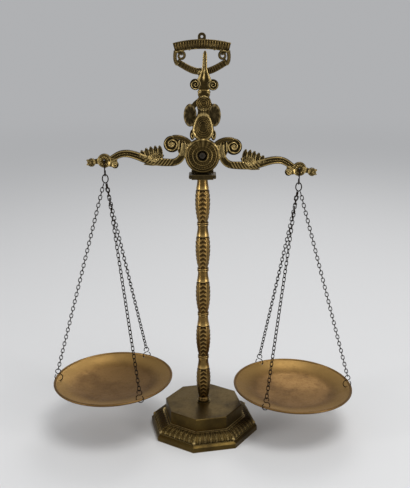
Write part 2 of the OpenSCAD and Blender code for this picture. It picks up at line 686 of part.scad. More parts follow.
// Three S-shaped wires that hang the pan by its holes
module rim_hooks(s) color("#3a2e1c") translate(pan_centre(s)) rotate([0, s * pan_lean, 0])
    for (k = [-1:1]) rotate([0, 0, azimuth(s, k)]) translate([hole_r, 0, hole_z]) rotate([90, 0, 0]) {
        rod(rim_wire, [0, -0.8], [0, rim_hook_h]);
        translate([-rim_hook_r, rim_hook_h, 0]) bend(rim_hook_r, rim_wire, 0, 205);
        translate([rim_hook_r, -0.8, 0]) bend(rim_hook_r, rim_wire, 180, rim_curl);
    }

// Shallow dish with a rolled rim and three holes
module pan(s) color("#b8964a") translate(pan_centre(s)) rotate([0, s * pan_lean, 0]) difference() {
    rotate_extrude($fn = 180) {
        intersection() {
            difference() {
                translate([0, bowl_r - pan_depth]) circle(r = bowl_r, $fn = fine_fn);
                translate([0, bowl_r - pan_depth]) circle(r = bowl_r - pan_t, $fn = fine_fn);
            }
            translate([0, -pan_depth - 1]) square([pan_d / 2 - roll_d / 2, pan_depth + 4]);
        }
        translate([pan_d / 2 - roll_d / 2, 0]) circle(d = roll_d, $fn = wire_fn);
    }
    for (k = [-1:1]) rotate([0, 0, azimuth(s, k)]) translate([hole_r, 0, hole_z - 5])
        cylinder(d = rim_hole_d, h = 10);
}

base_skirt();
base_plinth();
column_foot();
column_segment(1);  // column_segment_1
column_segment(2);  // column_segment_2
column_segment(3);  // column_segment_3
column_segment(4);  // column_segment_4
column_segment(5);  // column_segment_5
tie_rod();
tie_rod_washer();
tie_rod_nut();
capital();
rear_bracket();
bracket_screws();
index_frame();
frame_screws();
top_eye();
pivot_pin();
pivot_front_nut();
pivot_rear_nut();
beam();
pivot_bush();
crest();
crest_dowel();
needle();
hook(LEFT);  // left_hook
hang_ring(LEFT);  // left_ring
pan_chain(LEFT, 0, outer_off);  // left_outer_chain
pan_chain(LEFT, 1, front_off);  // left_front_chain
pan_chain(LEFT, -1, rear_off);  // left_rear_chain
rim_hooks(LEFT);  // left_rim_hooks
pan(LEFT);  // left_pan
hook(RIGHT);  // right_hook
hang_ring(RIGHT);  // right_ring
pan_chain(RIGHT, 0, outer_off);  // right_outer_chain
pan_chain(RIGHT, -1, front_off);  // right_front_chain
pan_chain(RIGHT, 1, rear_off);  // right_rear_chain
rim_hooks(RIGHT);  // right_rim_hooks
pan(RIGHT);  // right_pan
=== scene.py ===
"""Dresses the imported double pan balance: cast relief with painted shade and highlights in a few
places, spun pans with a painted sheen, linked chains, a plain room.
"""

from __future__ import annotations

import logging
from dataclasses import dataclass, field, replace
from enum import Enum
from math import acos, atan2, copysign, cos, exp, hypot, pi, radians, sin, sqrt, tau
from typing import Callable, Sequence

import bmesh
import bpy
from mathutils import Euler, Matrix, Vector

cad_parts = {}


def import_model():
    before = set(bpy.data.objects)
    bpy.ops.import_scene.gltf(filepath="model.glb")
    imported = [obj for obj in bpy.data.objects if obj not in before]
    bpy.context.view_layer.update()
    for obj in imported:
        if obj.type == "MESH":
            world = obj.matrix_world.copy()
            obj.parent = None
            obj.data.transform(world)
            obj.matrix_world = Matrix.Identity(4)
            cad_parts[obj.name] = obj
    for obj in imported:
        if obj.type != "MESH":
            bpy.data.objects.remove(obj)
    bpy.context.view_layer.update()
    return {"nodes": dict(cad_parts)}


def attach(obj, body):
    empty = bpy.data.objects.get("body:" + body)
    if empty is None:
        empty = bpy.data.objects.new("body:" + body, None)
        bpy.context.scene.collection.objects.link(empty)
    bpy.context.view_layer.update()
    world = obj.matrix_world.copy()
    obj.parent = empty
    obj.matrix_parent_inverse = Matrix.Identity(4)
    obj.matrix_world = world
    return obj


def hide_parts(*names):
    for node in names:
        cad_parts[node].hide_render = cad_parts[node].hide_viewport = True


LOG = logging.getLogger("balance")
MM = 0.001
LEFT = -1
RIGHT = 1
BOTH = ((LEFT, "left"), (RIGHT, "right"))
SIDES = 8  # of the foot
ROUND = (1.0, 1.0, 1.0)
# Each chain's name, which way round the pan its hole lies and where it bears on the ring's foot.
CHAINS = (("outer", 0, 1.7), ("front", -1, -1.75), ("rear", 1, -0.3))
ROUND_RIM = (4.1, 3.1)  # out and up from its hole to a hook's middle, where it passes round the rim

Object = bpy.types.Object
Socket = bpy.types.NodeSocket
Nodes = dict[str, Object]
Links = dict[str | int, object]
Point = tuple[float, float]
Triple = tuple[float, float, float]
WornAndLit = tuple[float, float]  # half thickness or added radius, then a value from -1 dark to 1 bright: patina and rubbed metal, and in a few places painted shade and painted highlights
Row = list[tuple[Vector, float]]  # a loop of places with their wear
Relief = Callable[[float, float], WornAndLit]
Outline = Callable[[float], Point]


# ---------------------------------------------------------------- small sums


def mix(a: float, b: float, t: float) -> float:
    """Returns the value a share t of the way from a to b."""
    return a + (b - a) * t


def knots(values: Sequence[float], t: float) -> float:
    """Reads a value between evenly spaced knots.

    Args:
        values: The knots, first at t = 0 and last at t = 1.
        t: Where to read.

    Returns:
        The value at t, straight between its two knots.
    """
    place = min(max(t, 0.0), 1.0) * (len(values) - 1)
    index = min(int(place), len(values) - 2)
    return mix(values[index], values[index + 1], place - index)


def ridge(x: float, at: float, width: float) -> float:
    """Returns a smooth bump of height 1 at one place, with its half width."""
    return exp(-(((x - at) / width) ** 2))


def dome(x: float) -> float:
    """Returns the height of a half circle over -1 to 1, and 0 outside."""
    return sqrt(max(0.0, 1.0 - x * x))


def wave(turns: float) -> float:
    """Returns a wave between 0 and 1, at 1 after every whole turn."""
    return 0.5 + 0.5 * cos(tau * turns)


def bezier(p: Sequence[Point], count: int) -> list[Point]:
    """Samples a cubic curve.

    Args:
        p: Its four control points.
        count: The number of steps.

    Returns:
        count + 1 points.
    """
    points = []
    for i in range(count + 1):
        t = i / count
        w = ((1 - t) ** 3, 3 * t * (1 - t) ** 2, 3 * t * t * (1 - t), t**3)
        points.append((sum(a * q[0] for a, q in zip(w, p)), sum(a * q[1] for a, q in zip(w, p))))
    return points


def oval(wide: float, high: float | None = None) -> Outline:
    """Makes an oval outline about its own centre.

    Args:
        wide: Half the width.
        high: Half the height, if it differs.

    Returns:
        A function from an angle to the place on the outline.
    """
    return lambda a: (wide * cos(a), (high or wide) * sin(a))


def arc(first: float, last: float, count: int) -> list[float]:
    """Returns count + 1 even angles in radians, between two given in degrees."""
    return [radians(mix(first, last, i / count)) for i in range(count + 1)]


def circle(steps: int) -> list[float]:
    """Returns the even angles of a full turn, in radians."""
    return [tau * k / steps for k in range(steps)]


def leaned(p: Vector, degrees: float, rise: float = 0.0) -> Vector:
    """Returns a place turned about the fore-and-aft axis, down on the right, and then raised."""
    c, s = cos(radians(degrees)), sin(radians(degrees))
    return Vector((p.x * c + p.z * s, p.y, rise + p.z * c - p.x * s))


# ---------------------------------------------------------------- node trees


@dataclass(frozen=True)
class Fade:
    """How a layer comes in: not at all at low, and at its most from high on."""

    low: float
    high: float
    most: float = 1.0


class Graph:
    """A node tree, filled one node at a time."""

    def __init__(self, tree: bpy.types.NodeTree, prefix: str) -> None:
        """Takes a tree over.

        Args:
            tree: The tree.
            prefix: The leading word that its node types share.
        """
        self.tree = tree
        self.prefix = prefix

    def node(self, kind: str, links: Links | None = None, **settings: object) -> bpy.types.Node:
        """Adds a node.

        Args:
            kind: Its type, without the leading word.
            links: From an input's name or number to a socket or a value.
            settings: Its own properties.

        Returns:
            The node.
        """
        made = self.tree.nodes.new(kind if kind.startswith("Shader") else self.prefix + kind)
        for key, value in settings.items():
            setattr(made, key, value)
        for key, value in (links or {}).items():
            if isinstance(value, Socket):
                self.tree.links.new(value, made.inputs[key])
            else:
                made.inputs[key].default_value = value
        return made

    def out(self, kind: str, links: Links | None = None, **settings: object) -> Socket:
        """Adds a node and returns its first output."""
        return self.node(kind, links, **settings).outputs[0]

    def calc(self, operation: str, a: object, b: object, **settings: object) -> Socket:
        """Returns the result of one operation on two sockets or values."""
        return self.out("ShaderNodeMath", {0: a, 1: b}, operation=operation, **settings)


class Paint(Graph):
    """A material's node tree."""

    def __init__(self, material: bpy.types.Material) -> None:
        """Switches the material's nodes on.

        Args:
            material: The material.
        """
        material.use_nodes = True
        super().__init__(material.node_tree, "ShaderNode")
        self.shader = self.tree.nodes["Principled BSDF"]
        self.place = self.node("TexCoord").outputs["Object"]

    def length(self, spot: Socket) -> Socket:
        """Returns a place's distance from its zero."""
        return self.node("VectorMath", {0: spot}, operation="LENGTH").outputs["Value"]

    def noise(self, spot: Socket, scale: float, detail: float) -> Socket:
        """Returns the value of a noise of one scale."""
        links = {"Vector": spot, "Scale": scale, "Detail": detail, "Roughness": 0.6}
        return self.node("TexNoise", links).outputs["Fac"]

    def ramp(self, value: Socket, fade: Fade) -> Socket:
        """Returns value stretched so that the fade's low gives 0 and its high gives 1."""
        links = {"Value": value, "From Min": fade.low, "From Max": fade.high}
        return self.out("MapRange", links, interpolation_type="SMOOTHSTEP")

    def openness(self, reach: float, inside: bool) -> Socket:
        """Returns how open the surface is within reach, from outside or from inside."""
        settings = {"inside": inside, "only_local": True, "samples": 8}
        return self.node("AmbientOcclusion", {"Distance": reach}, **settings).outputs["AO"]

    def lay(self, under: Socket | Triple, share: Socket, over: Triple, most: float) -> Socket:
        """Lays one colour over another.

        Args:
            under: The colour, or the socket, beneath.
            share: How much of the upper colour shows, from 0 to 1.
            over: The colour on top.
            most: The share at full strength.

        Returns:
            The mixed colour's socket.
        """
        part = self.calc("MULTIPLY", share, most, use_clamp=True)
        below = (*under, 1.0) if isinstance(under, tuple) else under
        links = {"Factor": part, 6: below, 7: (*over, 1.0)}
        return self.node("Mix", links, data_type="RGBA").outputs[2]


# ---------------------------------------------------------------- finishes


STAINED = Fade(0.42, 0.68, 0.6)  # by the coarse noise
SPECKLED = Fade(0.55, 0.75, 0.35)  # by the fine noise
HOLLOW = Fade(0.92, 0.5)  # by how open the surface is from outside
RUBBED = Fade(0.8, 0.45, 0.7)  # by how open it is from inside
PAN_SHEEN = Fade(0.046, 0.066, 0.42)  # these three by metres from a pan's middle: a painted sheen on the wall, a darker ring at the rim, and the wall's bump
PAN_RIM = Fade(0.0715, 0.0735, 0.75)
PAN_WALL = Fade(0.044, 0.08)
HAZE = Fade(0.5, 3.0)  # by metres over the floor


class Surface(Enum):
    """How a finish is worked over its body colour."""

    CAST = "cast"
    # Spun sheet: turning marks, the wall's bump and a painted sheen on the wall.
    SPUN_WITH_SHEEN = "spun"
    WIRE = "wire"


@dataclass(frozen=True)
class Finish:
    """An aged metal: patina in the recesses, bright rubbed edges and cloudy stains, with painted
    shade and painted highlights set per point in a few places, and a painted sheen on a spun pan's
    wall.
    """

    name: str
    slot: str
    body: Triple
    patina: Triple
    bright: Triple
    roughness: float = 0.4
    surface: Surface = Surface.CAST
    cavity: float = 0.0035
    stains: float = 45.0
    finer: float = 14.0
    gloss: Point = (-0.09, 0.14)
    grain: float = 0.25
    centre: Triple = (0.0, 0.0, 0.0)
    edge: float = 0.0009
    grain_h: float = 0.0003
    wall_h: float = 0.008
    turning: float = 160.0

    def material(self) -> bpy.types.Material:
        """Builds the node material once.

        Returns:
            The material.
        """
        made = bpy.data.materials.get(self.name)
        if made:
            return made
        made = bpy.data.materials.new(self.name)
        made.diffuse_color = (*self.body, 1.0)
        paint = Paint(made)
        paint.shader.inputs["Metallic"].default_value = 1.0
        shift = {"Vector": paint.place, "Location": tuple(-c for c in self.centre)}
        spot = paint.node("Mapping", shift).outputs["Vector"]
        clouds = paint.noise(spot, self.stains, 5.0)
        speckle = paint.noise(spot, self.stains * self.finer, 3.0)
        colour = self.body
        for share, over, most in self._layers(paint, spot, clouds, speckle):
            colour = paint.lay(colour, share, over, most)
        gloss = {
            "Value": paint.calc("ADD", clouds, speckle), "From Min": 0.7, "From Max": 1.3,
            "To Min": self.roughness + self.gloss[0], "To Max": self.roughness + self.gloss[1],
        }
        rough, normal = paint.out("MapRange", gloss), self._bump(paint, spot, speckle)
        for key, value in (("Base Color", colour), ("Roughness", rough), ("Normal", normal)):
            paint.tree.links.new(value, paint.shader.inputs[key])
        return made

    def _layers(
        self, paint: Paint, spot: Socket, clouds: Socket, speckle: Socket
    ) -> list[tuple[Socket, Triple, float]]:
        """Lists the colours that lie over the body.

        Args:
            paint: The material's tree.
            spot: The place about the finish's own centre.
            clouds: The coarse noise.
            speckle: The fine noise.

        Returns:
            Share, colour and full strength of each, from the lowest up.
        """
        layers = [(clouds, STAINED, self.patina), (speckle, SPECKLED, self.patina)]
        if self.surface is Surface.SPUN_WITH_SHEEN:
            # Painted sheen: a brighter band over the pan's wall; then a darker ring along the rim.
            reach = paint.length(spot)
            layers += [(reach, PAN_SHEEN, self.bright), (reach, PAN_RIM, self.patina)]
        if self.surface is not Surface.WIRE:
            layers.append((paint.openness(self.cavity, False), HOLLOW, self.patina))
            layers.append((paint.openness(self.edge, True), RUBBED, self.bright))
        # The per-point value lays the patina colour below zero and the bright colour above zero:
        # patina and rubbed metal, and in a few places painted shade and painted highlights.
        wear_and_painted_light = paint.node("Attribute", attribute_name="wear_and_painted_light").outputs["Fac"]
        return [
            *((paint.ramp(value, fade), colour, fade.most) for value, fade, colour in layers),
            (paint.calc("MULTIPLY", wear_and_painted_light, -1.0), self.patina, 1.0),
            (wear_and_painted_light, self.bright, 1.0),
        ]

    def _bump(self, paint: Paint, spot: Socket, speckle: Socket) -> Socket:
        """Lays the grain of a casting, or the turning marks and the wall of spun sheet.

        Args:
            paint: The material's tree.
            spot: The place about the finish's own centre.
            speckle: The fine noise.

        Returns:
            The normal's socket.
        """
        links = {"Height": speckle, "Strength": self.grain, "Distance": self.grain_h}
        if self.surface is Surface.SPUN_WITH_SHEEN:
            turned = {"Vector": spot, "Scale": self.turning, "Distortion": 1.5}
            rings = paint.node("TexWave", turned, wave_type="RINGS", rings_direction="Z")
            wall = {"Height": paint.ramp(paint.length(spot), PAN_WALL), "Distance": self.wall_h}
            links.update(Height=rings.outputs["Fac"], Normal=paint.out("Bump", wall))
        return paint.out("Bump", links)


BEAM_BRASS = Finish(
    "beam_brass", "cast_brass",
    (0.105, 0.069, 0.021), (0.011, 0.008, 0.004), (0.56, 0.41, 0.165), 0.31,
)
COLUMN_BRASS = Finish(
    "column_brass_aged", "column_brass",
    (0.125, 0.072, 0.02), (0.013, 0.008, 0.004), (0.58, 0.385, 0.135), 0.28,
)
LYRE_BRASS = Finish(
    "lyre_brass", "cast_brass",
    (0.108, 0.073, 0.025), (0.016, 0.011, 0.005), (0.41, 0.305, 0.125), 0.36,
)
SHADED_BRASS = Finish(
    "shaded_brass", "cast_brass",
    (0.06, 0.042, 0.017), (0.012, 0.009, 0.005), (0.30, 0.22, 0.10), 0.45,
)
BASE_BRASS = Finish(
    "base_brass_satin", "base_brass",
    (0.088, 0.057, 0.016), (0.02, 0.013, 0.006), (0.42, 0.31, 0.13), 0.4, stains=28.0,
)
IRON_WIRE = Finish(
    "iron_wire", "dark_wire",
    (0.022, 0.015, 0.01), (0.008, 0.006, 0.004), (0.12, 0.09, 0.06), 0.55,
    Surface.WIRE, stains=160.0,
)
OLD_STEEL = Finish(
    "old_steel", "steel", (0.34, 0.31, 0.27), (0.09, 0.07, 0.05), (0.6, 0.57, 0.52), 0.42
)
DARK_STEEL = Finish(
    "dark_steel", "steel", (0.045, 0.038, 0.03), (0.012, 0.01, 0.008), (0.12, 0.1, 0.08), 0.5
)
BUSH_BRONZE = Finish(
    "bush_bronze_plain", "bush_bronze",
    (0.1, 0.06, 0.03), (0.02, 0.014, 0.008), (0.3, 0.2, 0.1), 0.5,
)
# The pans' brass, with a painted sheen on the wall.
PAN_BRASS = Finish(
    "pan_spun_sheen", "pan_brass",
    (0.2, 0.11, 0.035), (0.09, 0.047, 0.018), (0.56, 0.35, 0.115), 0.46,
    Surface.SPUN_WITH_SHEEN, cavity=0.002, stains=26.0, grain=0.12,
)


# ---------------------------------------------------------------- shapes


def put(name: str, data: bpy.types.ID) -> Object:
    """Stands some data in the scene.

    Args:
        name: The new object's name.
        data: Its mesh, light or camera.

    Returns:
        The object, at the origin.
    """
    made = bpy.data.objects.new(name, data)
    bpy.context.scene.collection.objects.link(made)
    return made


def seat(piece: Object, body: str, finish: Finish, *nodes: str) -> None:
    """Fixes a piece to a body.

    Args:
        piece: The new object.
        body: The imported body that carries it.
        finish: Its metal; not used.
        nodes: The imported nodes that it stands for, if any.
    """
    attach(piece, body)
    if nodes:
        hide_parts(*nodes)
    LOG.info("%s: %d faces on %s", piece.name, len(piece.data.polygons), body)


@dataclass
class Shape:
    """Closed shells, in millimetres, with a value for each point from dark to bright: patina and
    rubbed metal, and in a few places painted shade and painted highlights.
    """

    points: list[Vector] = field(default_factory=list)
    faces: list[tuple[int, ...]] = field(default_factory=list)
    wear_and_painted_light: list[float] = field(default_factory=list)

    def placed(self, where: Callable[[Vector], Vector]) -> Shape:
        """Returns a copy with every point put through where."""
        return Shape([where(p) for p in self.points], self.faces, self.wear_and_painted_light)

    def seat(self, name: str, body: str, finish: Finish, *nodes: str) -> None:
        """Makes a Blender object of the shells, at the origin, and fixes it.

        Args:
            name: The object's name.
            body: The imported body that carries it.
            finish: Its metal.
            nodes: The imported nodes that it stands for, if any.
        """
        mesh = bpy.data.meshes.new(name)
        mesh.from_pydata([p * MM for p in self.points], [], self.faces)
        mesh.attributes.new("wear_and_painted_light", "FLOAT", "POINT").data.foreach_set("value", self.wear_and_painted_light)
        work = bmesh.new()
        work.from_mesh(mesh)
        bmesh.ops.recalc_face_normals(work, faces=work.faces)
        work.to_mesh(mesh)
        work.free()
        mesh.polygons.foreach_set("use_smooth", [len(p.vertices) == 4 for p in mesh.polygons])
        mesh.materials.append(finish.material())
        seat(put(name, mesh), body, finish, *nodes)


def joined(*parts: Shape) -> Shape:
    """Joins shapes.

    Args:
        parts: The shapes.

    Returns:
        One shape with the shells of all.
    """
    shape = Shape()
    for part in parts:
        start = len(shape.points)
        shape.points += part.points
        shape.wear_and_painted_light += part.wear_and_painted_light
        shape.faces += [tuple(start + i for i in face) for face in part.faces]
    return shape


def skin(rows: Sequence[Row], closed: bool = False) -> Shape:
    """Skins a run of closed loops of equal length.

    Args:
        rows: The loops.
        closed: Whether the last loop meets the first; otherwise both ends are capped.

    Returns:
        One closed shell.
    """
    size, count = len(rows[0]), len(rows)
    faces = []
    for i in range(count if closed else count - 1):
        a, b = i * size, (i + 1) % count * size
        for k in range(size):
            n = (k + 1) % size
            faces.append((a + k, a + n, b + n, b + k))
    if not closed:
        faces += [tuple(range(size)), tuple(range((count - 1) * size, count * size))]
    places, wear_and_painted_light = zip(*(spot for row in rows for spot in row))
    return Shape(list(places), faces, list(wear_and_painted_light))


def band(
    path: Sequence[Point], widths: Sequence[float], relief: Relief, across: int = 12, y: float = 0.0
) -> Shape:
    """Sweeps a two-faced relief along a path in the upright plane.

    Args:
        path: Centre line, as x and z.
        widths: Width at evenly spaced knots along the path.
        relief: From u across (-1 to 1) and t along (0 to 1) to half the thickness and the wear.
        across: The number of steps across one face.
        y: The middle plane.

    Returns:
        One closed shell.
    """
    last = len(path) - 1
    rows = []
    for i, (x, z) in enumerate(path):
        t = i / last
        (ax, az), (bx, bz) = path[max(i - 1, 0)], path[min(i + 1, last)]
        long = hypot(bx - ax, bz - az)
        nx, nz = -(bz - az) / long, (bx - ax) / long
        half = knots(widths, t) / 2
        row = []
        for face in (-1, 1):
            for k in range(across + 1):
                u = -face * mix(-1, 1, k / across)
                deep, wear_and_painted_light = relief(u, t)
                row.append((Vector((x + nx * half * u, y + face * deep, z + nz * half * u)), wear_and_painted_light))
        rows.append(row)
    return skin(rows)


def boss(
    centre: Point, outline: Outline, relief: Relief, rings: int, steps: int,
    hole: float = 0.02, y: float = 0.0,
) -> Shape:
    """Makes a two-faced relief inside an outline, such as a rosette.

    Args:
        centre: Its middle, as x and z.
        outline: From an angle to the place on the edge, about the centre.
        relief: From the share of the radius s and the angle to half the thickness and the wear.
        rings: The number of steps from the middle to the edge.
        steps: The number of steps around.
        hole: The share of the radius where the metal starts.
        y: The middle plane.

    Returns:
        One closed shell, with a real hole where the metal starts far enough out.
    """
    x, z = centre
    rows = []
    shares = [mix(hole, 1.0, i / rings) for i in range(rings + 1)]
    for face, order in ((-1, shares), (1, shares[::-1])):
        for s in order:
            row = []
            for a in circle(steps):
                dx, dz = outline(a)
                deep, wear_and_painted_light = relief(s, a)
                row.append((Vector((x + dx * s, y + face * deep, z + dz * s)), wear_and_painted_light))
            rows.append(row)
    return skin(rows, closed=hole > 0.03)


def wire(path: Sequence[Vector], radius: float, closed: bool = False, steps: int = 10) -> Shape:
    """Sweeps a round wire along a line.

    Args:
        path: The line's points.
        radius: Half the wire's thickness.
        closed: Whether the line meets its own start.
        steps: The number of steps around the wire.

    Returns:
        One closed shell.
    """
    count = len(path)
    side = (path[count // 3] - path[0]).cross(path[2 * count // 3] - path[0]).normalized()
    rows = []
    for i, place in enumerate(path):
        before = path[i - 1] if closed or i else place
        after = path[(i + 1) % count] if closed or i < count - 1 else place
        over = side.cross((after - before).normalized())
        spokes = (cos(a) * side + sin(a) * over for a in arc(0, 360, steps)[:-1])
        rows.append([(place + radius * spoke, 0.0) for spoke in spokes])
    return skin(rows, closed)


def lathe(profile: Sequence[Point], relief: Relief, steps: int) -> Shape:
    """Turns a profile about the upright axis, with relief on it.

    Args:
        profile: Radius and height from the foot up.
        relief: From the height and the angle to the added radius and the wear.
        steps: The number of steps around.

    Returns:
        One closed shell.
    """
    rows = []
    for radius, z in profile:
        row = []
        for a in circle(steps):
            more, wear_and_painted_light = relief(z, a)
            reach = radius + more
            row.append((Vector((reach * cos(a), reach * sin(a), z)), wear_and_painted_light))
        rows.append(row)
    return skin(rows)


# ---------------------------------------------------------------- reliefs


def two_ridges(u: float, _t: float) -> WornAndLit:
    """A channelled band with a smooth ridge along each edge."""
    edge = ridge(abs(u), 0.74, 0.2)
    return 1.6 + 1.35 * edge, 1.5 * edge**2 - 0.6


def rimmed(u: float, _t: float) -> WornAndLit:
    """A raised rim along each edge and a sunk face."""
    rim = ridge(abs(u), 0.9, 0.1)
    return 1.45 + 0.5 * rim, 1.1 * rim - 0.75


def rolled(u: float, _t: float) -> WornAndLit:
    """A rounded scroll with a fine groove on each side of its crown."""
    crown, line = dome(u * 0.97), cos(3 * pi * u)
    return 1.1 + 1.6 * crown + 0.22 * line, 1.1 * max(0.0, line) * crown - 0.45


def rope(u: float, t: float) -> WornAndLit:
    """A rounded bar cut into slanting strands."""
    strand, crown = abs(sin(pi * (t + 0.8 * u))), dome(u * 0.96)
    return 0.9 + 1.45 * crown + 0.6 * strand * crown, (1.7 * strand**2 - 0.9) * crown - 0.1


def shingle(lift: float, shade: float = 0.35) -> Relief:
    """Makes the leaf relief for a leaf among others.

    Args:
        lift: How far it is raised.
        shade: How much darker it is.

    Returns:
        The relief, over u across and t along.
    """

    def relief(u: float, t: float) -> WornAndLit:
        """Returns half thickness and wear."""
        high, wear_and_painted_light = leaf(u, t)
        return high + lift, wear_and_painted_light - shade

    return relief


def leaf(u: float, t: float) -> WornAndLit:
    """Works a leaf with a dished face, a bright edge, a midrib and slanting veins.

    Args:
        u: The place across, from -1 to 1.
        t: The place along, from 0 to 1.

    Returns:
        Half thickness and wear.
    """
    vein = wave(4 * t + 1.1 * abs(u))
    rib = ridge(u, 0.0, 0.16)
    edge = ridge(abs(u), 0.86, 0.17)
    tall = 1.2 + 0.7 * edge + 0.6 * rib + 0.25 * vein * (1 - abs(u))
    return tall, 1.2 * edge + 0.7 * rib + 0.2 * vein - 0.8


def plain(u: float, _t: float) -> WornAndLit:
    """A flat bar with softened edges."""
    return 1.6 + 0.35 * dome(u * 0.99), 0.5 * ridge(abs(u), 0.85, 0.15) - 0.25


def ribbed(u: float, t: float) -> WornAndLit:
    """A bar with cross ribs between two edges."""
    rib, edge = abs(sin(pi * 12 * t)) ** 2, ridge(abs(u), 0.85, 0.16)
    return 1.25 + 0.5 * rib * (1 - edge) + 0.75 * edge, 0.75 * edge + 0.55 * rib - 0.75


def fluted(u: float, _t: float) -> WornAndLit:
    """A sunk face with fine lines along it."""
    line = wave(2.5 * u)
    return 1.5 + 0.5 * line, 0.8 * line**2 - 0.7


def smooth(u: float, _t: float) -> WornAndLit:
    """A plain rounded bar, dark but for a painted highlight along its upper side."""
    return 1.1 + 1.7 * dome(u * 0.97), 0.5 * ridge(u, 0.45, 0.2) - 0.35


def sunk(_u: float, _t: float) -> WornAndLit:
    """A thin dark web between raised forms."""
    return 1.25, -0.9


def whorl(turns: float, height: float) -> Relief:
    """Makes the relief of a coiled volute.

    Args:
        turns: How many times the ridge goes round.
        height: Half the thickness on its crown.

    Returns:
        The relief, over the share of the radius and the angle.
    """

    def relief(s: float, a: float) -> WornAndLit:
        """Works the volute at one place.

        Args:
            s: The share of the radius.
            a: The angle.

        Returns:
            Half thickness and wear.
        """
        wave = (0.5 + 0.5 * cos(tau * turns * s - a)) ** 2
        fade = min(1.0, (1.0 - s) * 7)
        tall = height * (0.55 + 0.45 * wave * max(fade, 0.25)) * (0.75 + 0.25 * dome(s))
        return tall, 1.6 * wave * fade - 0.85

    return relief


def ringed(s: float, a: float) -> WornAndLit:
    """Works a round boss with a beaded rim, two rings and an eye.

    Args:
        s: The share of the radius.
        a: The angle.

    Returns:
        Half thickness and wear.
    """
    rim = ridge(s, 0.9, 0.07) * (0.75 + 0.25 * cos(24 * a))
    ring = ridge(s, 0.64, 0.06) + ridge(s, 0.4, 0.06)
    eye = dome(s / 0.2)
    return 2.2 + 0.7 * rim + 0.5 * ring + 0.5 * eye, 1.1 * rim + 0.9 * ring + 0.8 * eye - 0.75


def petals(count: int, height: float, middle: float) -> Relief:
    """Makes the relief of a rosette.

    Args:
        count: The number of petals.
        height: Half the thickness on its rim.
        middle: The share of the radius that its centre takes.

    Returns:
        The relief, over the share of the radius and the angle.
    """

    def relief(s: float, a: float) -> WornAndLit:
        """Works the rosette at one place.

        Args:
            s: The share of the radius.
            a: The angle.

        Returns:
            Half thickness and wear.
        """
        rim = ridge(s, 0.9, 0.08)
        petal = abs(cos(count * a / 2)) * ridge(s, 0.62, 0.17)
        eye = dome(s / middle)
        tall = height * (0.62 + 0.36 * rim + 0.34 * petal + 0.22 * eye)
        return tall, 1.1 * rim + 1.3 * petal**2 + 0.8 * eye - 0.65

    return relief


# ---------------------------------------------------------------- patterns


class Pattern(Graph):
    """A Geometry Nodes tree with named inputs, whose result is kept as a plain mesh."""

    def __init__(self, name: str, **sizes: str) -> None:
        """Starts a tree with its inputs and its output.

        Args:
            name: The tree's name.
            sizes: The kind of each named input, besides the guide line and the finish.
        """
        super().__init__(bpy.data.node_groups.new(name, "GeometryNodeTree"), "GeometryNode")
        self.keys: dict[str, str] = {}
        face = self.tree.interface
        for key, kind in {"Guide": "Geometry", **sizes, "Finish": "Material"}.items():
            socket = face.new_socket(key, in_out="INPUT", socket_type=f"NodeSocket{kind}")
            self.keys[key] = socket.identifier
        face.new_socket("Pieces", in_out="OUTPUT", socket_type="NodeSocketGeometry")
        self.start = self.tree.nodes.new("NodeGroupInput")
        self.end = self.tree.nodes.new("NodeGroupOutput")

    def node(self, kind: str, links: Links | None = None, **settings: object) -> bpy.types.Node:
        """Adds a node, where a word among its values stands for the tree's input of that name.

        Args:
            kind: Its type, without the leading word.
            links: From an input's name or number to a socket, a word or a value.
            settings: Its own properties.

        Returns:
            The node.
        """
        known = dict(links or {})
        for key, value in known.items():
            known[key] = self.start.outputs[value] if isinstance(value, str) else value
        return super().node(kind, known, **settings)

    def spread(self, how: Links, move: Links) -> None:
        """Sets pieces on points and ends the tree with real, smooth ones of one finish.

        Args:
            how: The points, the piece and how it stands on each.
            move: How the whole then moves.
        """
        real = self.out("RealizeInstances", {"Geometry": self.out("InstanceOnPoints", how)})
        moved = self.out("Transform", {"Geometry": real, **move})
        smooth = self.out("SetShadeSmooth", {"Geometry": moved})
        dressed = self.out("SetMaterial", {"Geometry": smooth, "Material": "Finish"})
        self.tree.links.new(dressed, self.end.inputs["Pieces"])

    def run(
        self, name: str, body: str, finish: Finish, guide: Sequence[Vector], ring: bool,
        *nodes: str, **sizes: object,
    ) -> None:
        """Runs the tree on a guide line, keeps the result as a plain mesh and fixes it.

        Args:
            name: The new object's name.
            body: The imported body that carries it.
            finish: Its metal.
            guide: The line that the tree starts from, in millimetres.
            ring: Whether the line is closed.
            nodes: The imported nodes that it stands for, if any.
            sizes: Values for the tree's inputs.
        """
        mesh = bpy.data.meshes.new(name + "_guide")
        count = len(guide)
        edges = [(i, (i + 1) % count) for i in range(count if ring else count - 1)]
        mesh.from_pydata([p * MM for p in guide], edges, [])
        carrier = put(name + "_guide", mesh)
        modifier = carrier.modifiers.new("pattern", "NODES")
        modifier.node_group = self.tree
        for key, value in {**sizes, "Finish": finish.material()}.items():
            modifier[self.keys[key]] = value
        view = bpy.context.evaluated_depsgraph_get()
        result = bpy.data.meshes.new_from_object(carrier.evaluated_get(view), depsgraph=view)
        result.name = name
        bpy.data.objects.remove(carrier)
        if not result.materials:
            result.materials.append(finish.material())
        seat(put(name, result), body, finish, *nodes)


class BeadRow(Pattern):
    """Round beads at an even pitch along a line."""

    def __init__(self) -> None:
        """Builds the tree."""
        super().__init__("bead_row", Radius="Float", Pitch="Float", Flatten="Vector")
        line = self.out("MeshToCurve", {"Mesh": "Guide"})
        steps = self.out("ResampleCurve", {"Curve": line, "Length": "Pitch"}, mode="LENGTH")
        bead = self.out("MeshUVSphere", {"Segments": 10, "Rings": 6, "Radius": "Radius"})
        self.spread({"Points": steps, "Instance": bead, "Scale": "Flatten"}, {})


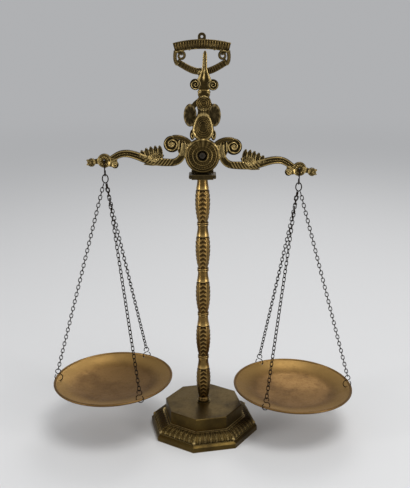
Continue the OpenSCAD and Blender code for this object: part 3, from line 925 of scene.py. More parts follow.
class LinkRun(Pattern):
    """Oval links strung on one line, each a quarter turn on from the last, with a slow twist."""

    def __init__(self) -> None:
        """Builds the tree."""
        super().__init__(
            "link_run", Links="Int", Pitch="Vector", First="Vector", Quarter="Float", Twist="Float",
            Radius="Float", Turn="Rotation", Start="Vector",
        )
        loop = self.out("MeshToCurve", {"Mesh": "Guide"})
        wire = self.out("CurvePrimitiveCircle", {"Resolution": 8, "Radius": "Radius"})
        link = self.out("CurveToMesh", {"Curve": loop, "Profile Curve": wire})
        line = {"Count": "Links", "Start Location": "First", "Offset": "Pitch"}
        index = self.out("InputIndex")
        along = self.calc("DIVIDE", index, self.calc("SUBTRACT", "Links", 1.0))
        slow = self.calc("MULTIPLY", self.calc("SUBTRACT", 1.0, along), "Twist")
        angle = self.calc("ADD", slow, self.calc("MULTIPLY", index, "Quarter"))
        axis = self.out("ShaderNodeCombineXYZ", {"Z": angle})
        how = {"Points": self.out("MeshLine", line), "Instance": link, "Rotation": axis}
        self.spread(how, {"Translation": "Start", "Rotation": "Turn"})


class TickArc(Pattern):
    """Upright bars spread evenly over an arc about the beam's pivot."""

    def __init__(self) -> None:
        """Builds the tree."""
        super().__init__(
            "tick_arc", Count="Int", Bar="Vector", Reach="Vector", First="Float", Step="Float",
            Pivot="Vector",
        )
        bar = self.out("MeshCube", {"Size": "Bar"})
        away = self.out("Transform", {"Geometry": bar, "Translation": "Reach"})
        places = self.out("MeshLine", {"Count": "Count", "Offset": (0.0, 0.0, 0.0)})
        angle = self.calc("ADD", self.calc("MULTIPLY", self.out("InputIndex"), "Step"), "First")
        axis = self.out("ShaderNodeCombineXYZ", {"Y": angle})
        how = {"Points": places, "Instance": away, "Rotation": axis}
        self.spread(how, {"Translation": "Pivot"})


# ---------------------------------------------------------------- sub-assemblies


@dataclass(frozen=True)
class Tilt:
    """Takes places drawn about the pivot to where they stand, with the beam's tilt."""

    degrees: float = 0.0
    side: int = RIGHT
    pivot_z: float = 353.0

    def __call__(self, p: Vector) -> Vector:
        """Returns the place of one drawn point."""
        return leaned(Vector((self.side * p.x, p.y, p.z)), self.degrees, self.pivot_z)


@dataclass
class Kit:
    """What the sub-assemblies share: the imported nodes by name, and the trees."""

    nodes: Nodes
    beads: BeadRow = field(default_factory=BeadRow)
    links: LinkRun = field(default_factory=LinkRun)
    ticks: TickArc = field(default_factory=TickArc)


@dataclass
class SubAssembly:
    """A group of pieces, made with the shared kit."""

    kit: Kit

    def dress(self, finish: Finish, *names: str) -> None:
        """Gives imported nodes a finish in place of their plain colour.

        Args:
            finish: The metal.
            names: The nodes to dress.
        """
        for name in names:
            materials = self.kit.nodes[name].data.materials
            materials.clear()
            materials.append(finish.material())
            LOG.info("dressed %s in %s", name, finish.name)


@dataclass
class Foot(SubAssembly):
    """The octagonal foot: relief band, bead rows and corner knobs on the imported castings."""

    skirt_w: float = 127.5
    plinth_w: float = 91.5
    foot_h: float = 8.5
    skirt_h: float = 18.0
    turn: float = -10.5
    lobes: int = 7
    lobe_steps: int = 14
    lobe_h: float = 1.1
    band_steps: int = 20
    knob_r: float = 2.1
    knob_h: float = 2.3

    def flare(self, t: float) -> Point:
        """Returns the apothem and height of the flared band, from its foot at 0 to its top at 1."""
        a, low, high = radians(90 * t), self.skirt_w / 2 - 4, self.plinth_w / 2 + 0.8
        return mix(high, low, cos(a)), mix(self.foot_h, self.skirt_h, sin(a))

    def corner(self, k: float, apothem: float, z: float) -> Vector:
        """Finds a place on the octagon.

        Args:
            k: Which one, counted in corners and shares of a side.
            apothem: How far out the sides lie.
            z: The height.

        Returns:
            The place.
        """
        whole = int(k)
        radius = apothem / cos(pi / SIDES)
        turns = [radians(self.turn + 360 / SIDES * i) for i in (whole, whole + 1)]
        first, last = (Vector((radius * cos(a), radius * sin(a), z)) for a in turns)
        return first.lerp(last, k - whole)

    def lobe(self, u: float, v: float) -> tuple[float, float]:
        """Works one lobe of the leaf band.

        Args:
            u: How far from the lobe's middle, from 0 to 1.
            v: How far up the band, from 0 to 1.

        Returns:
            The share of the lobe's full height, and the wear.
        """
        arch = ridge(u, 0.86 * dome(v * 0.98), 0.13)
        midrib = ridge(u, 0.0, 0.13) * (1 - v)
        vein = wave(4.5 * v - 1.6 * u) if u < dome(v) else 0.0
        share = 0.15 + 0.7 * arch + 0.6 * midrib + 0.35 * vein
        return share, 0.7 * arch + 0.4 * midrib + 0.35 * vein - 0.5

    def band(self) -> Shape:
        """Makes the lobed leaf band over the flare of all eight sides.

        Returns:
            One closed shell.
        """
        across, up = self.lobes * self.lobe_steps, self.band_steps
        rows = []
        for j in range(up + 1):
            apothem, z = self.flare(mix(0.05, 0.92, j / up))
            row = []
            for i in range(SIDES * across):
                u = abs(i % self.lobe_steps / (self.lobe_steps / 2) - 1)
                share, wear_and_painted_light = self.lobe(u, j / up)
                high = self.lobe_h * share if 0 < j < up else 0.0
                lit = wear_and_painted_light + (1.2 if j >= up - 1 else 0.0)
                row.append((self.corner(i / across, apothem + high, z + 0.4 * high), lit))
            rows.append(row)
        deep = self.flare(0.5)[0] - 8
        inner = [self.corner(i / across, deep, self.foot_h + 1) for i in range(SIDES * across)]
        first, last = ([(p + Vector((0, 0, rise)), 0.0) for p in inner] for rise in (0, 7))
        return skin([first, *rows, last], closed=True)

    def knob(self, low: Vector) -> Shape:
        """Makes a small lobed knob.

        Args:
            low: Its place on the skirt.

        Returns:
            One closed shell.
        """
        rows = []
        for j in range(9):
            lat = mix(-1.45, 1.45, j / 8)
            row = []
            for a in circle(16):
                r = self.knob_r * cos(lat) * (1 + 0.1 * cos(4 * a))
                rise = self.knob_h * sin(lat) + 0.4
                row.append((low + Vector((r * cos(a), r * sin(a), rise)), 0.7))
            rows.append(row)
        return skin(rows)

    def make(self) -> None:
        """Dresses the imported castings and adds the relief."""
        self.dress(BASE_BRASS, "base_skirt", "base_plinth")
        self.band().seat("skirt_leaf_band", "stand", BASE_BRASS)
        lows = [self.corner(k, *self.flare(0.12)) for k in range(SIDES)]
        joined(*map(self.knob, lows)).seat("skirt_corner_knobs", "stand", BASE_BRASS)
        rows = (
            ("skirt_bead_row", self.skirt_w / 2 - 3.0, self.foot_h + 0.5, 1.0, 2.4),
            ("plinth_foot_beads", self.plinth_w / 2 + 0.7, self.skirt_h + 0.2, 0.55, 1.3),
        )
        for name, apothem, z, radius, pitch in rows:
            line = [self.corner(k, apothem, z) for k in range(SIDES)]
            sizes = {"Radius": radius * MM, "Pitch": pitch * MM, "Flatten": (1.0, 1.0, 0.8)}
            self.kit.beads.run(name, "stand", BASE_BRASS, line, True, **sizes)


@dataclass
class Column(SubAssembly):
    """Five turned and chased balusters between the foot and the capital."""

    foot_z: float = 37.5
    pitch: float = 57.7
    neck_r: float = 6.2
    ring_r: float = 7.0
    lip_r: float = 7.6
    bulb_r: float = 9.2
    ring_h: float = 4.8
    collar_h: float = 12.5
    panels: int = 4
    steps: int = 144

    def __post_init__(self) -> None:
        """Finds the height of the bulb between the double ring and the collar."""
        self.bulb_h = self.pitch - self.ring_h - self.collar_h

    def profile(self) -> list[Point]:
        """Draws one baluster, from its double ring to its neck.

        Returns:
            Radius and height from the foot up.
        """
        half = self.ring_h / 4
        points = [(self.ring_r - 0.9, 0.0)]
        for middle in (half, 3 * half):
            for a in arc(0, 180, 8)[1:-1]:
                points.append((self.ring_r - half + half * sin(a), middle - half * cos(a)))
        for k in range(73):
            points.append((self.bulb_at(k / 72), self.ring_h + k / 72 * self.bulb_h))
        for k in range(1, 17):
            flare = mix(self.lip_r, self.neck_r, sin(pi / 2 * k / 16))
            points.append((flare, self.pitch - self.collar_h + k / 16 * (self.collar_h - 1)))
        return [*points, (self.neck_r, self.pitch)]

    def bulb_at(self, v: float) -> float:
        """Returns the bulb's radius at a share v of its height."""
        x = (v - 0.6) / (0.6 if v < 0.6 else 0.62)
        return mix(self.neck_r - 0.3, self.bulb_r - 0.45, 1 - x * x)

    def relief(self, z: float, a: float) -> WornAndLit:
        """Works the chased leaves, with a painted shadow line under the collar.

        Args:
            z: The height.
            a: The angle.

        Returns:
            The added radius and the wear.
        """
        v = (z - self.ring_h) / self.bulb_h
        if v <= 0.0:
            return 0.0, 1.1 * ridge(z % 2.4, 1.2, 0.8) - 0.5
        if v >= 1.0:
            return 0.0, 0.6 * ridge(z, self.pitch - self.collar_h + 1.0, 2.6) + 0.1
        across = ((a * self.panels / tau + 0.5) % 1.0) * 2 - 1
        inside = 1.0 if abs(across) < 0.62 else 0.0
        border = ridge(abs(across), 0.66, 0.06)
        lobe = dome((abs(across) - 0.84) / 0.16)
        notch = wave(7.5 * v + abs(across)) ** 0.8
        rib = ridge(across, 0.0, 0.07)
        high = 0.3 * border + 0.3 * lobe + inside * (0.6 * notch + 0.15 * rib) - 0.45
        ends = min(1.0, 9 * v, 9 * (1 - v))
        # A groove at the top of the bulb under the collar; its darkening is a painted shadow line.
        under = ridge(v, 1.0, 0.025)
        wear_and_painted_light = 0.55 * border + 0.15 * lobe**3 + inside * (1.2 * notch**3 - 0.7) - 1.5 * under
        return high * ends - 1.1 * under, wear_and_painted_light

    def make(self) -> None:
        """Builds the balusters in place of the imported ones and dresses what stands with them."""
        one = lathe(self.profile(), self.relief, self.steps)
        for k in range(5):
            rise = Vector((0, 0, self.foot_z + k * self.pitch))
            turned = one.placed(lambda p, rise=rise: p + rise)
            turned.seat(f"baluster_{k + 1}", "stand", COLUMN_BRASS, f"column_segment_{k + 1}")
        self.dress(BASE_BRASS, "column_foot")
        self.dress(SHADED_BRASS, "capital")
        self.dress(OLD_STEEL, "tie_rod", "tie_rod_washer", "tie_rod_nut")


@dataclass
class Beam(SubAssembly):
    """The cast beam about its pivot: medallion, scrolls, stalks, leaves, rosettes and knobs."""

    tilt: float = 2.7
    medallion_r: float = 20.3
    bush_r: float = 3.6
    hang: Point = (114.0, -11.0)
    rosette_r: float = 8.2
    hole_r: float = 1.12
    stalk_end: float = 0.24
    rope_end: float = 0.72
    fade: float = 0.05
    plain_steps: int = 108
    channel_y: float = 1.9
    bead_r: float = 0.85
    bead_pitch: float = 1.9

    def arm_line(self) -> list[Point]:
        """Draws one arm: stalk, lower arm and the band to the rosette.

        Returns:
            Its centre line, as x and z.
        """
        runs = (
            ([(20.4, 13.5), (21, 3), (24, -9.2), (36, -9.8)], 48),
            ([(36, -9.8), (46, -10.2), (58, -9.6), (68, -6.5)], 64),
            ([(68, -6.5), (78, -3), (84, -0.7), (92, -1.7)], 30),
            ([(92, -1.7), (99, -2.8), (103, -7.4), (107, -9.3)], 18),
        )
        return [(20.4, 13.6), *(p for controls, count in runs for p in bezier(controls, count)[1:])]

    def arm_relief(self, u: float, t: float) -> WornAndLit:
        """Works the arm: edge lines, then strands, then two ridges.

        Args:
            u: The place across, from -1 to 1.
            t: The place along, from 0 to 1.

        Returns:
            Half thickness and wear.
        """
        if t < self.stalk_end:
            edge = ridge(abs(u), 0.8, 0.16)
            return 1.7 + 0.9 * edge + 0.25 * cos(12 * u), 1.5 * edge - 0.65
        if t > self.rope_end:
            return two_ridges(u, t)
        blend = min(1.0, (t - self.stalk_end) / self.fade, (self.rope_end - t) / self.fade)
        edge, strand = two_ridges(u, t), rope(u, 22 * t)
        return mix(edge[0], strand[0], blend), mix(edge[1], strand[1], blend)

    def medallion_relief(self, s: float, a: float) -> WornAndLit:
        """Works the medallion: rim, flutes, rings, palmette and the recess round the bush, darkened
        as painted shade.

        Args:
            s: The share of the radius.
            a: The angle.

        Returns:
            Half thickness and wear.
        """
        up = abs((a - pi / 2 + pi) % tau - pi)
        fan = ridge(up, 0.0, 0.75) * ridge(s, 0.72, 0.3)
        stroke = abs(cos(9 * (a - pi / 2))) ** 0.6
        rim = ridge(s, 0.94, 0.045)
        ring = ridge(s, 0.8, 0.03) + ridge(s, 0.56, 0.03) + ridge(s, 0.34, 0.035)
        flute = abs(sin(15 * a)) * ridge(s, 0.68, 0.085)
        small = abs(sin(10 * a)) * ridge(s, 0.45, 0.07)
        calm = (1 - fan) * (0.65 * ring + 0.6 * flute + 0.5 * small)
        bright = (1 - fan) * (1.3 * ring + 1.1 * flute**2 + 0.9 * small**2)
        tall = 2.5 + 0.75 * rim + calm + 0.9 * fan * stroke - 1.6 * ridge(s, 0.17, 0.06)
        lit = 1.2 * rim + bright + 1.3 * fan * stroke**3
        # Painted shade: the recess round the bush is darkened.
        return tall, 0.85 * lit - 0.8 - 2 * ridge(s, 0.17, 0.08)

    def side_shape(self) -> Shape:
        """Makes everything on one side of the pivot, drawn for the right.

        Returns:
            Its shells.
        """
        scroll, curl = (36, 11.9), (101.6, -15.4)
        web = bezier([(22.5, -1), (23.5, 5), (24.5, 11), (24, 17)], 24)
        stalk = bezier([(14, 12), (19, 18.6), (26, 21.8), (35, 19.6)], 30)
        spur = bezier([(48, -10), (55, -12), (61, -13), (68, -13.2)], 16)
        return joined(
            band(self.arm_line(), [8.6, 8.2, 8.6, 9.4, 9.4, 8.6, 7.2], self.arm_relief, 16),
            band(web, [7, 11, 10, 7], shingle(0.0, 0.3), 20),
            band(stalk, [6.4, 5, 5.2], smooth),
            boss(scroll, oval(9.6), whorl(2.4, 2.95), 40, 84),
            boss(scroll, oval(3.0), petals(7, 3.0, 0.4), 8, 42),
            band(spur, [6, 4.5, 0.7], leaf, 10),
            band([(103, -8), (102.3, -11.7), curl], [7, 6.5, 6], plain, 8),
            band([curl, (106, -14.8), (110, -14)], [6, 6, 6], plain, 8),
            boss(curl, oval(4.2), whorl(1.4, 2.5), 14, 40),
            self.leaf_crest(),
            boss((56.0, -4.4), oval(7.2, 5.2), petals(9, 3.3, 0.3), 16, 72),
            self.end_knob(),
            self.rosette(),
        )

    def leaf_crest(self) -> Shape:
        """Makes the leaves that stand on the arm outside the scroll, with the bud before them.

        Returns:
            Their shells.
        """
        bed = bezier([(46, -5), (54, -1.5), (64, -1.5), (74, -3)], 30)
        leaves = []
        for i in range(5):
            x, out, rise, drop = 4.9 * i, 5.2 * i, 0.12 * i * i, 0.4 * i * i
            path = [(50 + x, rise - 7), (48.8 + x, rise - 1)]
            path += [(49.4 + out, 5 - drop), (50.5 + out, 9.4 - drop)]
            leaves.append(band(bezier(path, 22), [5, 6.2, 6.2, 5, 1.6], shingle(0.14 * i)))
        bud = boss((60.4, -4.6), oval(2.6), petals(5, 3.0, 0.7), 10, 30)
        return joined(band(bed, [7, 11, 11, 5], sunk, 6), *leaves, bud)

    def end_knob(self) -> Shape:
        """Makes the bar, ball and leaf points outside the hang rosette.

        Returns:
            Their shells.
        """
        x, z = ball = (129, -13.8)
        bar = bezier([(119, -12), (120, -11.5), (124, -12.5), (127, -13)], 8)
        points = []
        for end in ((135, -11.2), (134.8, -16.8)):
            points.append(band([ball, (x + 3, mix(z, end[1], 0.6)), end], [5, 4.4, 0.6], leaf, 6))
        knob = boss(ball, oval(4.8), petals(6, 2.9, 0.5), 10, 36)
        return joined(band(bar, [8, 6, 5], plain, 8), knob, *points)

    def rosette(self) -> Shape:
        """Makes the hang rosette with its hole.

        Returns:
            One closed shell.
        """

        def relief(s: float, a: float) -> WornAndLit:
            """Works the rosette at one place.

            Args:
                s: The share of the radius.
                a: The angle.

            Returns:
                Half thickness and wear.
            """
            rim = ridge(s, 0.9, 0.08)
            petal = abs(cos(6 * a)) * ridge(s, 0.56, 0.22)
            return 1.35 + 0.75 * rim + 0.75 * petal, 0.8 * rim + 1.3 * petal**2 - 0.45

        edge = oval(self.rosette_r)
        return boss(self.hang, edge, relief, 18, 72, hole=self.hole_r / self.rosette_r)

    def make(self) -> None:
        """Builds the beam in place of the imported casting, with bead rows in both faces."""
        edge, hole = oval(self.medallion_r), self.bush_r / self.medallion_r
        medallion = boss((0, 0), edge, self.medallion_relief, 56, 240, hole)
        one = self.side_shape()
        sides = [one.placed(Tilt(self.tilt, s)) for s, _ in BOTH]
        whole = joined(medallion.placed(Tilt(self.tilt)), *sides)
        whole.seat("cast_beam", "beam", BEAM_BRASS, "beam")
        sizes = {"Radius": self.bead_r * MM, "Pitch": self.bead_pitch * MM, "Flatten": ROUND}
        for s, side in BOTH:
            where = Tilt(self.tilt, s)
            for y, face in ((-self.channel_y, "front"), (self.channel_y, "back")):
                line = [where(Vector((x, y, z))) for x, z in self.arm_line()[self.plain_steps :]]
                name = f"{side}_arm_beads_{face}"
                self.kit.beads.run(name, "beam", BEAM_BRASS, line, False, **sizes)
        self.dress(BUSH_BRONZE, "pivot_bush")
        self.dress(OLD_STEEL, "crest_dowel")
        self.dress(DARK_STEEL, "pivot_pin", "pivot_front_nut", "pivot_rear_nut")


@dataclass
class Crest(SubAssembly):
    """What stands on the medallion: cartouche, lobes, rosette, neck and the pointer."""

    lean: float = 1.7
    top: float = 76.0
    tip: float = 119.0

    def cartouche(self, a: float) -> Point:
        """Draws the pear outline: widest low down, narrow and square at its top.

        Args:
            a: The angle.

        Returns:
            The place on the outline.
        """
        up = sin(a)
        halves = [9.0, 10.6, 11.9, 12.5, 12.5, 12.0, 11.2, 10.2, 9.1, 8.0, 7.0]
        wide = knots(halves, 0.5 + 0.5 * up)
        return copysign(wide * (1 - abs(up) ** 5) ** 0.5, cos(a)), 16.5 * up

    def cartouche_relief(self, s: float, a: float) -> WornAndLit:
        """Works the cartouche: bright side edges, arcs and the oval boss.

        Args:
            s: The share of the radius.
            a: The angle.

        Returns:
            Half thickness and wear.
        """
        rim = ridge(s, 0.88, 0.08) * abs(cos(a)) ** 0.4
        arcs = ridge(s, 0.68, 0.045) + ridge(s, 0.54, 0.04) + ridge(s, 0.4, 0.035)
        stroke = (0.5 + 0.5 * cos(20 * a)) * ridge(s, 0.78, 0.05)
        eye = dome(s / 0.3)
        tall = 1.6 + 1.3 * rim + 0.65 * arcs + 0.3 * stroke + 0.9 * eye
        return tall, 2.0 * rim + 0.95 * arcs + 0.5 * stroke + 0.4 * eye - 0.85

    def crest_shape(self) -> Shape:
        """Makes the cartouche with its lobes, the rosette and the neck.

        Returns:
            Their shells.
        """
        lobes = []
        for s, _ in BOTH:
            lobes.append(boss((s * 12.2, 24.0), oval(3.0, 6.0), whorl(1.2, 2.0), 12, 36))
            lobes.append(boss((s * 5.2, 73.4), oval(2.2, 1.8), petals(4, 3.0, 0.8), 6, 20))
        return joined(
            boss((0, 33.5), self.cartouche, self.cartouche_relief, 44, 160),
            *lobes,
            band([(0, 46), (0, 49), (0, 52), (0, 55)], [15, 13.5, 13, 15], fluted, 24),
            boss((0, 60.5), oval(8.6, 8.9), ringed, 36, 120),
            band([(0, 67), (0, 70), (0, 73), (0, self.top)], [12, 14, 13.5, 12], plain, 14),
        )

    def blade(self, u: float, t: float) -> WornAndLit:
        """Works the pointer: bright edges, a groove and a centre ridge.

        Args:
            u: The place across, from -1 to 1.
            t: The place along, from 0 to 1.

        Returns:
            Half thickness and wear.
        """
        clear = min(1.0, max(0.0, 9 * t - 1.6))
        edge = ridge(abs(u), 0.8, 0.17) * clear
        middle = ridge(u, 0.1, 0.12) * clear * min(1.0, max(0.3, 2.6 - 4.4 * t))
        lit = 1.5 * edge + 1.5 * middle + (0.1 if t > 0.45 else -0.4)
        return 0.9 + 1.4 * edge + 1.1 * middle, lit

    def pointer_shape(self) -> Shape:
        """Makes the pointer and its two volutes.

        Returns:
            Their shells.
        """
        widths = [12, 15, 16, 16, 13.2, 9.6, 6.9, 5.6, 5.2, 5.0, 4.8, 4.5, 1.8]
        path = [(0, mix(self.top + 0.1, self.tip, i / 60)) for i in range(61)]
        places = [(s * 10.0, self.top + 5.5) for s, _ in BOTH]
        volutes = [boss(place, oval(6.3), whorl(2.2, 2.5), 26, 66) for place in places]
        return joined(band(path, widths, self.blade, 24), *volutes)

    def make(self) -> None:
        """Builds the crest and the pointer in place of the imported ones."""
        where = Tilt(self.lean)
        self.crest_shape().placed(where).seat("cast_crest", "beam", BEAM_BRASS, "crest")
        self.pointer_shape().placed(where).seat("pointer", "beam", BEAM_BRASS, "needle")


@dataclass
class IndexFrame(SubAssembly):
    """The lyre behind the beam with its graduated arch, and the bracket that carries it."""

    y: float = 6.0
    rise: float = 91.5
    arch_r: float = 120.5
    arch_w: float = 10.8
    half_angle: float = 14.5
    ticks: int = 21
    tick: Triple = (2.0, 3.7, 8.4)

    def half_shape(self) -> Shape:
        """Makes the right half of the lyre: diagonal, post, scroll and leaf points.

        Returns:
            Its shells.
        """
        end = radians(self.half_angle)
        x, top = (self.arch_r + 2) * sin(end) - 1, (self.arch_r + 2) * cos(end)
        foot, low = self.rise, self.rise + 12
        tall = top - low
        line = [(0, foot + 4.7), (7, foot + 3.2), (13, foot + 5.5), (x - 1.2, low + 3.2)]
        post = [(x - 2, low), (x + 2, low + 0.28 * tall), (x + 1, low + 0.63 * tall), (x, top)]
        curl = []
        for i, a in enumerate(arc(40, 520, 48)):
            r = mix(5.2, 1.4, i / 48)
            curl.append((x - 5.9 + r * cos(a), low + 0.64 * tall + r * sin(a)))
        leaves = []
        for i in range(3):
            tip, rise = x - 8 - 7.4 * i, top + 3.6 + 2.1 * i - 0.25 * i * i
            path = [(tip + 1.6, rise), (tip + 0.6, rise - 2.6), (tip - 0.8, rise - 4.8)]
            leaves.append(band(path, [6.4, 5.0, 1.6], shingle(0.0, 0.7), 8, self.y))
        return joined(
            band(bezier(line, 96), [7, 7.6, 7], ribbed, 14, self.y),
            band(bezier(post, 20), [4.5, 4, 4.5], rolled, 10, self.y),
            band(curl, [3.2, 3.0, 2.4, 2.0], rolled, 8, self.y),
            *leaves,
        )

    def ear(self) -> Shape:
        """Makes the leafy oval that shows beside the cartouche.

        Returns:
            One closed shell.
        """

        def relief(s: float, a: float) -> WornAndLit:
            """Works the ear: a veined leaf round a small eye.

            Args:
                s: The share of the radius.
                a: The angle.

            Returns:
                Half thickness and wear.
            """
            vein = 0.5 + 0.5 * cos(9 * a + 5 * s)
            rim = ridge(s, 0.88, 0.09)
            eye = dome(s / 0.3)
            return 2.2 + 0.1 * rim + 0.05 * vein * s, 0.9 * rim + 0.9 * vein * s + 0.5 * eye - 0.4

        return boss((14.0, 46.0), oval(7.5, 13.0), relief, 22, 96, y=self.y)

    def make(self) -> None:
        """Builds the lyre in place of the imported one, and dresses the bracket and its screws."""
        foot, middle = self.rise, self.arch_r + self.arch_w / 2
        angles = arc(-self.half_angle, self.half_angle, 40)
        arch = [(middle * sin(a), middle * cos(a)) for a in angles]
        half = self.half_shape()
        joined(
            band(arch, [self.arch_w], rimmed, 20, self.y),
            *(half.placed(lambda p, s=s: Vector((s * p.x, p.y, p.z))) for s, _ in BOTH),
            band([(0, foot - 13), (0, foot - 5), (0, foot + 2)], [8, 8, 8], plain, 8, self.y + 3.3),
            band([(0, foot + 0.1), (0, foot + 5)], [10, 10], plain, 8, self.y),
        ).placed(Tilt()).seat("lyre", "stand", LYRE_BRASS, "index_frame")
        first, pivot = self.half_angle - 1, (0.0, 0.0, Tilt().pivot_z * MM)
        self.kit.ticks.run(
            "arch_ticks", "stand", LYRE_BRASS, [Vector((0, 0, 0)), Vector((0, 0, 1))], False,
            Count=self.ticks, Bar=tuple(v * MM for v in self.tick),
            Reach=(0.0, self.y * MM, middle * MM), Pivot=pivot,
            First=-radians(first), Step=radians(2 * first / (self.ticks - 1)),
        )
        for s, side in BOTH:
            self.ear().placed(Tilt(0.0, s)).seat(f"{side}_ear", "stand", SHADED_BRASS)
        self.dress(SHADED_BRASS, "rear_bracket", "top_eye")
        self.dress(OLD_STEEL, "bracket_screws", "frame_screws")


@dataclass
class Suspension(SubAssembly):
    """One side's hook, ring, three chains, rim hooks and pan."""

    side: int
    name: str
    hang: Point
    hook_len: float = 18.0
    hole_play: float = 0.2
    ring_play: float = 0.15
    link_play: float = 0.1
    eye_play: float = 0.2
    hook_more: float = 0.05
    wire_d: float = 1.4
    ring_w: float = 10.0
    ring_half: float = 3.4
    pan_drop: float = 279.4
    pan_d: float = 150.0
    pan_depth: float = 12.0
    pan_lean: float = 2.0
    hole_inset: float = 6.0
    hook_r: float = 4.9
    eye_r: float = 3.2
    link_wire: float = 1.0
    link_w: float = 4.6
    link_inner: float = 4.9

    def __post_init__(self) -> None:
        """Finds the outer hole's direction, the ring and the pan."""
        self.outer = 0.0 if self.side == RIGHT else 180.0
        x, z = self.hang
        low = z - self.hole_play - self.hook_len + self.wire_d
        self.ring = Vector((x, 0.0, low + self.ring_play - self.ring_w / 2))
        self.pan = Vector((x, 0.0, z - self.pan_drop))

    def ring_low(self, off: float) -> Vector:
        """Returns the place on the ring's foot where a chain's first link bears."""
        drop = self.ring_w / 2 * dome(off / self.ring_half)
        return self.ring + Vector((self.side * off, 0.0, -drop))

    def on_pan(self, turn: float, out: float, up: float) -> Vector:
        """Returns a place in the plane of a rim hook.

        Args:
            turn: The hole's turn about the pan's middle from the outer hole, in degrees.
            out: How far from the hole along the hook's plane, which leans a third more.
            up: How far above the hole.

        Returns:
            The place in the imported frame.
        """
        bowl = ((self.pan_d / 2) ** 2 + self.pan_depth**2) / (2 * self.pan_depth)
        r = self.pan_d / 2 - self.hole_inset
        z = bowl - self.pan_depth - sqrt(bowl * bowl - r * r) + up
        a, b = radians(self.outer + turn), radians(self.outer + turn * 4 / 3)
        p = Vector((r * cos(a) + out * cos(b), r * sin(a) + out * sin(b), z))
        return self.pan + leaned(p, self.side * self.pan_lean)

    def hook_middle(self, turn: float) -> Point:
        """Returns the middle of a rim hook's open loop, out from the hole and above it."""
        return ROUND_RIM if turn else (0.2, self.hook_r + 0.5)

    def rim_hook(self, turn: float) -> Shape:
        """Makes one S-hook: the open loop through the pan's hole and the eye above it.

        Args:
            turn: The hole's turn from the outer hole, in degrees.

        Returns:
            One closed shell.
        """
        low, high = self.hook_r, self.eye_r
        out, up = self.hook_middle(turn)
        path = [(-low * cos(a), low * sin(a)) for a in arc(130, 450, 36)]
        path += [(-high * cos(a), low + high + high * sin(a)) for a in arc(-90, -390, 24)[1:]]
        line = [self.on_pan(turn, out + x, up + z) for x, z in path]
        return wire(line, self.link_wire / 2 + self.hook_more)

    def link_line(self, inner: float) -> list[Vector]:
        """Draws one link's centre line in the YZ plane, about its middle.

        Args:
            inner: The link's length inside.

        Returns:
            Its points, once round.
        """
        r = (self.link_w - self.link_wire) / 2
        half = (inner + self.link_wire) / 2 - r
        points = []
        for end, first in ((half, 0), (-half, 180)):
            for a in arc(first, first + 180, 8):
                points.append(Vector((0.0, r * cos(a), end + r * sin(a))))
        return points

    def chain(self, word: str, away: float, off: float) -> None:
        """Hangs one chain between the ring and the pan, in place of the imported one.

        Args:
            word: The chain's name on its side.
            away: The hole's turn from the outer hole, in degrees.
            off: How far out from the ring's foot it hangs.
        """
        start = self.ring_low(off)
        out, up = self.hook_middle(away)
        eye = self.hook_r + 2 * self.eye_r - self.link_wire - self.eye_play
        run = self.on_pan(away, out, up + eye) - start
        top = ((self.wire_d + self.link_wire) / 2 + self.ring_play) * 1.05
        reach = run.length - top
        count = 2 * round((reach / self.link_inner - 1) / 2) + 1
        inner = (reach - self.link_wire + (count - 1) * self.link_play) / count
        first = top + (inner + self.link_wire) / 2
        twist = self.outer + away
        twist -= 180 * round(twist / 180)
        turn = Euler((0.0, acos(run.z / run.length), atan2(run.y, run.x)), "XYZ")
        self.kit.links.run(
            f"{self.name}_{word}_links", f"{self.name}_pan", IRON_WIRE, self.link_line(inner), True,
            f"{self.name}_{word}_chain",
            Links=count, First=(0.0, 0.0, first * MM),
            Pitch=(0.0, 0.0, (inner - self.link_play) * MM),
            Quarter=pi / 2, Twist=radians(twist), Radius=self.link_wire / 2 * MM,
            Turn=turn, Start=tuple(start * MM),
        )

    def make(self) -> None:
        """Hangs the chains and dresses the pan, hook, ring and rim hooks."""
        name = self.name
        for word, way, off in CHAINS:
            self.chain(word, 120 * self.side * way, off)
        self.dress(IRON_WIRE, f"{name}_hook")
        hooks = joined(*map(self.rim_hook, (0, 120, -120)))
        hooks.seat(f"{name}_s_hooks", f"{name}_pan", IRON_WIRE, f"{name}_rim_hooks")
        wide, high = self.ring_half, self.ring_w / 2
        spots = [Vector((wide * cos(a), 0.0, high * sin(a))) for a in arc(0, 360, 48)[:-1]]
        ring = wire([self.ring + spot for spot in spots], self.wire_d / 2, closed=True)
        ring.seat(f"{name}_oval_ring", f"{name}_ring", IRON_WIRE, f"{name}_ring")
        # The pan's finish, centred on its middle so that the painted sheen and the darker rim ring
        # fall on its wall and rim.
        spun = replace(PAN_BRASS, name=f"{name}_pan_spun_sheen", centre=tuple(self.pan * MM))
        self.dress(spun, f"{name}_pan")


# ---------------------------------------------------------------- the room


@dataclass(frozen=True)
class Lamp:
    """A soft lamp that faces the balance: its place and size in metres, its power in watts."""

    name: str
    place: Triple
    power: float
    wide: float
    high: float
    aim: Triple = (0.0, 0.0, 0.25)

    def hang(self) -> None:
        """Hangs the lamp."""
        data = bpy.data.lights.new(self.name, "AREA")
        data.shape = "RECTANGLE"
        data.energy = self.power
        data.size = self.wide
        data.size_y = self.high
        made = put(self.name, data)
        made.location = self.place
        to = Vector(self.aim) - Vector(self.place)
        made.rotation_euler = to.to_track_quat("-Z", "Y").to_euler()


LAMPS = (
    Lamp("top_lamp", (0.4, -0.5, 1.9), 15.0, 0.8, 0.8),
    Lamp("right_lamp", (1.25, -0.75, 0.55), 9.0, 0.3, 1.0),
    Lamp("left_lamp", (-1.3, -0.6, 0.5), 7.0, 0.25, 1.0),
    Lamp("rear_lamp", (0.3, 1.3, 1.4), 7.0, 0.8, 0.8),
)


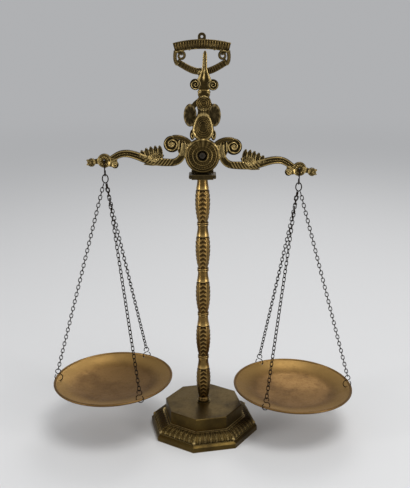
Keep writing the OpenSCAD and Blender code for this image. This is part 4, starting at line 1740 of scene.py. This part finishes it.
@dataclass
class Studio:
    """Pale floor, soft lamps and the camera."""

    target: Triple = (2.6, 0.0, 245.0)
    pitch: float = 17.06
    distance: float = 967.25
    roll: float = -0.23
    lens: float = 59.2
    tone: Triple = (0.72, 0.73, 0.75)
    even: float = 0.6
    floor_tone: Triple = (0.66, 0.66, 0.66)
    floor_r: float = 9.0

    def floor(self) -> None:
        """Lays the pale floor, which fades into the room's tone."""
        mesh = bpy.data.meshes.new("floor")
        work = bmesh.new()
        bmesh.ops.create_circle(work, cap_ends=True, segments=96, radius=self.floor_r)
        work.to_mesh(mesh)
        work.free()
        material = bpy.data.materials.new("pale_floor")
        paint = Paint(material)
        paint.shader.inputs["Base Color"].default_value = (*self.floor_tone, 1.0)
        paint.shader.inputs["Roughness"].default_value = 0.9
        haze = paint.out("Emission", {"Color": (*self.tone, 1.0), "Strength": self.even})
        fade = paint.ramp(paint.length(paint.place), HAZE)
        join = paint.out("MixShader", {0: fade, 1: paint.shader.outputs[0], 2: haze})
        paint.tree.links.new(join, paint.tree.nodes["Material Output"].inputs["Surface"])
        mesh.materials.append(material)
        put("floor", mesh)

    def camera(self) -> None:
        """Stands the camera where the photograph was taken."""
        data = bpy.data.cameras.new("camera")
        data.lens = self.lens
        made = put("camera", data)
        a = radians(self.pitch)
        away = Vector((0.0, -cos(a), sin(a))) * self.distance
        made.location = (Vector(self.target) + away) * MM
        aim, roll = (-away).to_track_quat("-Z", "Y"), Euler((0, 0, radians(self.roll)))
        made.rotation_euler = (aim.to_matrix() @ roll.to_matrix()).to_euler()
        bpy.context.scene.camera = made

    def world(self) -> None:
        """Sets the even light of the room."""
        world = bpy.data.worlds.new("room")
        world.use_nodes = True
        shade = world.node_tree.nodes["Background"]
        shade.inputs["Color"].default_value = (*self.tone, 1.0)
        shade.inputs["Strength"].default_value = self.even
        bpy.context.scene.world = world
        bpy.context.scene.view_settings.view_transform = "Standard"

    def make(self) -> None:
        """Sets up the room."""
        self.floor()
        for lamp in LAMPS:
            lamp.hang()
        self.world()
        self.camera()


def main() -> None:
    """Builds the balance's looks piece by piece."""
    logging.basicConfig(level=logging.INFO, format="%(message)s")
    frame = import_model()
    kit = Kit(frame["nodes"])
    Studio().make()
    for group in (Foot(kit), Column(kit), Beam(kit), Crest(kit), IndexFrame(kit)):
        group.make()
    Suspension(kit, LEFT, "left", (-114.392, 347.382)).make()
    Suspension(kit, RIGHT, "right", (113.355, 336.642)).make()


if __name__ == "__main__":
    main()
